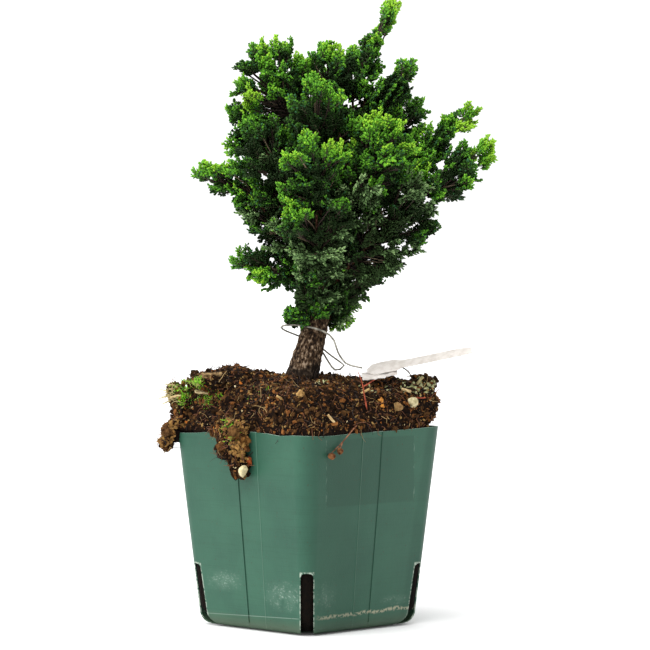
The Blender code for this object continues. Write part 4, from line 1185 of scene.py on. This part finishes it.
def on_patches(skin, patches):
    """Places and normals of the root ball's skin on some patches, thickest at the middle of each."""
    middle, normals, area = skin
    rows = []
    for place, spread, count in patches:
        near = np.linalg.norm(middle - np.array(on_ball(skin, *place)), axis=1) / (spread * MM)
        weight = area * np.exp(-(near**2)) + 1e-30
        rows.append(draw.choice(len(middle), count, p=weight / weight.sum()))
    chosen = np.concatenate(rows)
    return middle[chosen], normals[chosen]


def grow_moss(skin):
    """Moss of small pointed leaves, moist but without gloss, and lichen as pale matt crumbs."""
    at, normals = on_patches(skin, MOSS_PATCHES)
    way = unit(normals + 0.5 * UP + draw.normal(0, 0.55, at.shape))
    length = draw.uniform(1.0, 2.6, len(at))[:, None] * MM
    side, other = random_frames(way)
    kind = draw.random(len(at))
    for name, colour, low, high in MOSSES:
        chosen = (kind >= low) & (kind < high)
        frames = [v[chosen] for v in (at, side * 0.6 * MM, other * 0.5 * MM, way * length)]
        points, faces = copies(*spindle(), frames)
        mesh_piece("moss_" + name, points, faces, finish_of("moss_" + name, colour, 0.7))
    at, normals = on_patches(skin, LICHEN_PATCHES)
    sizes = draw.uniform(0.6, 2.1, len(at)) * MM
    lumps("lichen", at + normals * 0.5 * MM, normals, sizes, earthy("pale_lichen", "#777a4a", "#b9b98e", 1.5 * MM))


def scatter_on_clumps(skin):
    at, normals = on_patches(skin, CLUMP_PATCHES)
    sizes = (0.7 + 1.7 * draw.random(len(at)) ** 2) * MM
    lumps("clump_crumbs", at, normals, sizes, earthy("ochre_peat", "#5f4323", "#a17b45", 1.6 * MM))


def grow_wisps(skin):
    """Loose ends of straw, moss and root hairs, dry and matt."""
    for name, (spots, count, way, spread, least, most, thick, colour) in WISPS.items():
        start = np.repeat([on_ball(skin, x, z) for x, z in spots], count, axis=0)
        start = start + draw.normal(0, 1.3 * MM, start.shape) * (1, 1, 0.6)
        ways = unit(np.array(way) + draw.normal(0, spread, start.shape))
        paths = wander(start - ways * MM, ways, draw.uniform(least, most, len(start)) * MM, 0.28)
        radii = thick * MM * draw.uniform(0.7, 1.3, (len(start), 1)) * np.linspace(1, 0.4, FIBRE_POINTS)
        strands(name, paths, radii, finish_of(name, colour, 0.8))


def stone(name, at, size, finish, cuts, rough=0.7):
    """A pebble, a clod or a pod: a ball cut flat on a few sides and roughened."""
    nothing_selected()
    bpy.ops.mesh.primitive_ico_sphere_add(
        subdivisions=3, radius=0.5, location=at, rotation=(0.4, 0, 0.3), scale=Vector(size) * MM
    )
    made = bpy.context.object
    bpy.ops.object.transform_apply(location=False, rotation=True, scale=True)
    bpy.ops.object.mode_set(mode="EDIT")
    for _ in range(cuts):
        normal = Vector(unit(draw.normal(0, 1, 3)))
        half = max(abs(normal.x) * size[0], abs(normal.y) * size[1], abs(normal.z) * size[2]) / 2
        bpy.ops.mesh.select_all(action="SELECT")
        plane = at + normal * half * draw.uniform(0.68, 0.82) * MM
        bpy.ops.mesh.bisect(plane_co=plane, plane_no=normal, use_fill=True, clear_outer=True)
    bpy.ops.object.mode_set(mode="OBJECT")
    modify(made, "REMESH", mode="VOXEL", voxel_size=0.4 * MM)
    modify(made, "DISPLACE", texture=noise_texture(name, "CLOUDS", 1.3 * MM), strength=rough * MM, mid_level=0.5)
    return settle(made, name, [finish], (), 60)


def chip(name, at, size, turn, finish):
    """A splinter of wood or bark: a thin slab with torn ends."""
    nothing_selected()
    bpy.ops.mesh.primitive_cube_add(size=1, location=at, rotation=turn, scale=Vector(size) * MM)
    made = bpy.context.object
    bpy.ops.object.transform_apply(location=False, rotation=False, scale=True)
    bpy.ops.object.mode_set(mode="EDIT")
    bpy.ops.mesh.select_all(action="SELECT")
    bpy.ops.mesh.subdivide(number_cuts=4)
    bpy.ops.transform.vertex_random(offset=0.14 * size[1] * MM, seed=len(name))
    bpy.ops.mesh.bevel(offset=0.06 * MM, segments=1)
    bpy.ops.object.mode_set(mode="OBJECT")
    return settle(made, name, [finish], (), 40)


def stem_piece(name, paths, thick, finish):
    """Thin stems or roots (mm), each a tapering limb, joined."""
    limbs = []
    for path in paths:
        radii = [thick * MM * (1 - 0.5 * i / (len(path) - 1)) for i in range(len(path))]
        limbs.append(grow_limb(path, radii, 6))
    made = join(limbs, name)
    activate(made)
    bpy.ops.object.transform_apply()
    modify(made, "SUBSURF", levels=1)
    return settle(made, name, [finish], (), 180)


# Stones and lumps: where they show (x, z), their size, how many flat sides (mm)
STONES = {
    "cream_stone": ((-33.4, 78.9), (5.2, 4.2, 6.8), 6, ("#b8a981", "#e0d3aa")),
    "tan_stone": ((47.2, 111.9), (6, 5, 5.4), 6, ("#6f5233", "#a08255")),
    "pale_stone": ((54.9, 112.9), (7.4, 5, 6.2), 7, ("#8f8661", "#cfc49c")),
    "tan_clod": ((-3.8, 118.6), (5, 4, 3.6), 3, ("#7a5c35", "#b5915b")),
    "brown_clod_1": ((-38, 97.6), (6, 5, 6), 3, ("#3f2814", "#70502c")),
    "brown_clod_2": ((-30.9, 94.1), (5, 4.4, 5.2), 3, ("#40280f", "#7a5329")),
    "brown_clod_3": ((-29.3, 89.5), (4.4, 4, 4.6), 3, ("#3b2412", "#6d4523")),
    "brown_clod_4": ((-45, 92), (5, 4.4, 5), 3, ("#3b2412", "#6b4826")),
    "brown_clod_5": ((-72, 98), (6, 5, 6), 3, ("#3a2412", "#705030")),
    "red_granule": ((-26.3, 84.2), (3, 2.6, 5), 3, ("#5c2a14", "#8c4522")),
    "orange_granule_1": ((5.4, 126.7), (2.6, 2.4, 2.4), 2, ("#a05a20", "#d08a3e")),
    "orange_granule_2": ((38.3, 114.8), (3, 2.6, 3), 3, ("#a86a2c", "#d69a50")),
    "orange_granule_3": ((39.3, 111.4), (2.6, 2.4, 2.4), 3, ("#a0601f", "#c98a3c")),
}
# Splinters: where they show (x, z), their length, width and thickness (mm), how they turn, and their tones
CHIPS = {
    "bark_chip": ((-49, 128.2), (10, 3.6, 1.3), (0.3, -0.06, 0.1), ("#4d3a24", "#9c8159")),
    "pale_splinter": ((-53.5, 118.4), (10, 1.8, 1.1), (0.5, 0.14, 0.2), ("#a08a62", "#dccb9f")),
    "splinter_1": ((13.3, 104.6), (6.5, 1.4, 0.9), (0.4, 0.9, 0.1), ("#a98a5c", "#dcc394")),
    "splinter_2": ((51.5, 119.1), (5, 1.6, 0.9), (0.5, 0.3, 0.2), ("#97805a", "#cfb98c")),
    "splinter_3": ((-67, 117.4), (8, 1.3, 0.8), (0.4, -0.2, 0.3), ("#a3895c", "#d9c394")),
    "splinter_4": ((30, 119), (6, 1.2, 0.8), (0.4, -0.5, 0.1), ("#8d7148", "#c6a873")),
    "splinter_5": ((-14, 116), (5.5, 1.3, 0.8), (0.4, 0.5, 0.4), ("#957647", "#cfae76")),
    "splinter_6": ((57, 124), (7, 1.5, 0.8), (0.4, -0.9, 0.2), ("#98895c", "#c9c090")),
}
# Thin stems (mm): where the points of each show, as x, z and, off the ball, y
STEM_POINTS = ((30.4, 109), (29.6, 114), (28.6, 118.5), (28.3, 122.1), (27, 126), (25.3, 129.8))
FORK_POINTS = ((28.3, 121.5), (31, 122.6), (33, 124.4), (34.6, 124.9))
ROOT_ON_BALL = ((30.4, 107.3), (26, 101.5))
ROOT_HANGING = ((20.5, 96.2, -55), (18.2, 93.4, -54), (15, 90, -57), (11.5, 86.8, -60))
ROOT_BRANCH = ((17, 91, -56), (16.6, 88.8, -57))
# Straws, each from where it leaves the ball to its tip
STRAWS = (
    ((-68, 118), (-76, 120)),
    ((-69, 117), (-76.5, 115)),
    ((-66, 120), (-74, 123)),
    ((-70, 114), (-75, 112)),
    ((-67, 119), (-73, 118)),
)
TWIG_POINTS = ((47.5, 131.5), (50, 130.5), (52.5, 128), (54, 124))
SIDE_ROOT = ((55, 116.5), (60, 115), (64.8, 116.5))


def lay_special_things(skin):
    for name, ((x, z), size, cuts, (dark, light)) in STONES.items():
        at = on_ball(skin, x, z)
        at.y -= 0.25 * size[1] * MM
        stone(name, at, size, earthy(name, dark, light, 2 * MM), cuts, 0.5 if "stone" in name else 2.4)
    for name, ((x, z), size, turn, (dark, light)) in CHIPS.items():
        at = on_ball(skin, x, z) - Vector((0, 0.7 * MM, -0.3 * MM))
        chip(name, at, size, turn, earthy(name, dark, light, 1.6 * MM))
    deep = on_ball(skin, 30.4, 110.9).y / MM - 0.5
    stem, fork = ([place_of(x, z, deep) for x, z in points] for points in (STEM_POINTS, FORK_POINTS))
    red = earthy("seedling_red", "#6d2f20", "#a8533c", 2 * MM, 0.6)
    stem_piece("seedling", [stem, fork], 0.5, red)
    root = [on_ball(skin, *spot) for spot in ROOT_ON_BALL] + [place_of(*spot) for spot in ROOT_HANGING]
    branch = [root[3]] + [place_of(*spot) for spot in ROOT_BRANCH]
    stem_piece("hanging_root", [root, branch], 0.42, earthy("root_brown", "#55301f", "#96664b", 2 * MM, 0.7))
    pod = earthy("seed_pod", "#3d2213", "#7c5233", 1.6 * MM)
    stone("pod_1", place_of(16.6, 88.5, -56.5), (4.4, 2.8, 4), pod, 4)
    stone("pod_2", place_of(12.3, 85.6, -60.5), (4.2, 3.2, 3.8), pod, 2)
    straws = []
    for (x, z), (u, v) in STRAWS:
        straws.append([on_ball(skin, x, z), place_of((x + u) / 2, (z + v) / 2 + 0.4, 0), place_of(u, v, 1)])
    stem_piece("straw_tips", straws, 0.5, earthy("pale_straw", "#8f8050", "#cbbd88", 2 * MM))
    twig = [place_of(*spot, -14) for spot in TWIG_POINTS]
    stem_piece("dark_twig", [twig], 0.5, earthy("dark_stem", "#23180f", "#4a3826", 2 * MM))
    side = [on_ball(skin, *spot) - Vector((0, MM, 0)) for spot in SIDE_ROOT]
    stem_piece("right_root", [side], 0.45, red)


# Label and its wire

LABEL_MIDDLE = (39.2, 131.4, -14)
LABEL_RISE, LABEL_TILT = math.radians(-10.2), math.radians(33)
LABEL_THICK, FLAP_THICK = 0.5 * MM, 0.3 * MM
HEAD_LENGTH, HEAD_WIDTH, HEAD_CORNER = 18 * MM, 9.6 * MM, 3.2 * MM
# The strip is drawn out of the head in these steps (mm)
STRIP_WIDTH, STRIP_STEPS = 6.2 * MM, (6, 8, 8, 8, 6)
# Where the label is bent: x, how far it is felt, and how far up
LABEL_BENDS = ((-HEAD_LENGTH / 2, 9 * MM, -0.6 * MM), (44 * MM, 30 * MM, 0.8 * MM))
FLAP_PLACE, FLAP_LENGTH, FLAP_WIDTH = (-3 * MM, -3.6 * MM, -1.2 * MM), 18 * MM, 7 * MM
FOLD_SIZE, FOLD_DEPTH = 3.4 * MM, 3.2 * MM


def label_plastic():
    """Thin white polypropylene, yellowed a little and dusty, that lets some light through."""
    made = finish_of("white_label_plastic", "#d4cdc5", 0.42, IOR=1.49, Transmission_Weight=0.12)
    tree = made.node_tree
    place = add_node(tree, "TexCoord", output="Object")
    dust = band(tree, grain(tree, place, 3 * MM, detail=4), 0.52, 2, 0.12)
    colour = layer(tree, "#dad4ce", "#b8aea4", dust, 0.5)
    return dress(made, colour, grain(tree, place, 0.8 * MM, (6, 1, 1)), 0.05 * MM)


def build_label():
    """A push-in plant label lying on the soil: a six-sided head, a long strip, and a crumpled flap under the head."""
    nothing_selected()
    bpy.ops.mesh.primitive_plane_add(size=HEAD_LENGTH)
    head = bpy.context.object
    bpy.ops.object.mode_set(mode="EDIT")
    bpy.ops.mesh.select_all(action="SELECT")
    bpy.ops.transform.resize(value=(1, HEAD_WIDTH / HEAD_LENGTH, 1))
    bpy.ops.mesh.bevel(offset=HEAD_CORNER, segments=1, affect="VERTICES")
    right = HEAD_LENGTH / 2 - 0.1 * MM
    pick(head, "edges", lambda e: all(v.co.x > right for v in e.verts))
    bpy.ops.transform.resize(value=(1, STRIP_WIDTH / (HEAD_WIDTH - 2 * HEAD_CORNER), 1))
    for step in STRIP_STEPS:
        bpy.ops.mesh.extrude_region_move(TRANSFORM_OT_translate={"value": (step * MM, 0, 0)})
    bpy.ops.transform.resize(value=(1, 0.75, 1))
    bpy.ops.mesh.select_all(action="SELECT")
    bpy.ops.mesh.subdivide(number_cuts=1)
    for x, reach, lift in LABEL_BENDS:
        nudge(head, lambda v: abs(v.co.x - x) < 2 * MM, (0, 0, lift), reach)
    bpy.ops.object.mode_set(mode="OBJECT")
    modify(head, "SOLIDIFY", thickness=LABEL_THICK, offset=0)
    modify(head, "BEVEL", width=0.12 * MM, segments=2, limit_method="ANGLE")
    nothing_selected()
    bpy.ops.mesh.primitive_grid_add(x_subdivisions=14, y_subdivisions=8, size=FLAP_LENGTH, location=FLAP_PLACE)
    flap = bpy.context.object
    bpy.ops.object.mode_set(mode="EDIT")
    bpy.ops.transform.resize(value=(1, FLAP_WIDTH / FLAP_LENGTH, 1))
    bpy.ops.object.mode_set(mode="OBJECT")
    folds = noise_texture("folds", "CLOUDS", FOLD_SIZE)
    modify(flap, "DISPLACE", texture=folds, strength=FOLD_DEPTH, mid_level=0.5)
    modify(flap, "SOLIDIFY", thickness=FLAP_THICK, offset=0)
    label = join([head, flap], "plant_label")
    label.rotation_euler = (Matrix.Rotation(LABEL_RISE, 3, "Y") @ Matrix.Rotation(LABEL_TILT, 3, "X")).to_euler()
    label.location = place_of(*LABEL_MIDDLE)
    settle(label, "plant_label", [label_plastic()], ["label"], 30)


def coat_wire():
    """Soft iron tie wire in a thin grey coat, dulled and rubbed."""
    made = finish_of("grey_wire_coat", "#68665a", 0.42, IOR=1.5)
    tree = made.node_tree
    place = add_node(tree, "TexCoord", output="Object")
    rubbed = band(tree, grain(tree, place, 2.2 * MM), 0.5, 2, 0.1)
    wire = NODES["label_wire"]
    wire.data.materials.clear()
    wire.data.materials.append(dress(made, layer(tree, "#68655a", "#a5a194", rubbed)))


# Floor, light and camera

FLOOR_SIZE, FLOOR_BELOW = 60, 0.2 * MM
# How bright the sky is from the low end to the high end of each axis; the three are added, so that it is brighter
# from the left, from above and from behind than from the right
SKY = (("X", 0.83, -0.01), ("Y", 0.36, 0.76), ("Z", -0.2, 0.2))
KEY_STRENGTH, KEY_SPREAD, KEY_WAY = 3.35, math.radians(60), (0.34, 0.45, -1.0)
EYE_PITCH = math.radians(90 - 1.33)
LENS, SENSOR, FARTHEST = 173.7, 36, 100


def place_in_scene(name, data, location, turn):
    """A lamp or a camera at its place."""
    obj = bpy.data.objects.new(name, data)
    obj.location, obj.rotation_euler = location, turn
    bpy.context.scene.collection.objects.link(obj)
    return obj


def studio():
    scene = bpy.context.scene
    nothing_selected()
    bpy.ops.mesh.primitive_plane_add(size=FLOOR_SIZE, location=(0, 0, -FLOOR_BELOW))
    floor = bpy.context.object
    floor.name = "studio_floor"
    # Matt white paper, which glows a little, as under a studio's even light
    glow = {"Emission_Color": (1, 1, 1, 1), "Emission_Strength": 0.03}
    floor.data.materials.append(finish_of("white_paper", "#e6e6e6", 0.9, **glow))
    scene.world = bpy.data.worlds.new("studio_world")
    scene.world.use_nodes = True
    tree = scene.world.node_tree
    place = add_node(tree, "TexCoord", output="Generated")
    axes = add_node(tree, "SeparateXYZ", {"Vector": place}).node.outputs
    total = 0
    for axis, low, high in SKY:
        spread = {"Value": axes[axis], "From Min": -1, "From Max": 1, "To Min": low, "To Max": high}
        level = add_node(tree, "MapRange", spread)
        total = add_node(tree, "Math", {"operation": "ADD", 0: level, 1: total})
    back = tree.nodes["Background"]
    back.inputs["Color"].default_value = (1, 1, 1, 1)
    tree.links.new(total, back.inputs["Strength"])
    key = bpy.data.lights.new("key", "SUN")
    key.energy, key.angle = KEY_STRENGTH, KEY_SPREAD
    place_in_scene("key", key, (0, 0, 0), Vector(KEY_WAY).to_track_quat("-Z", "Y").to_euler())
    eye = bpy.data.cameras.new("eye")
    eye.lens, eye.sensor_width, eye.clip_end = LENS, SENSOR, FARTHEST
    scene.camera = place_in_scene("eye", eye, EYE, (EYE_PITCH, 0, 0))
    scene.view_settings.view_transform = "Standard"


build_pot()
build_trunk()
build_boughs()
grow_foliage()
skin = ball_skin(build_root_ball())
scatter_crumbs(skin)
scatter_fibres(skin)
grow_moss(skin)
scatter_on_clumps(skin)
grow_wisps(skin)
lay_special_things(skin)
build_label()
coat_wire()
studio()
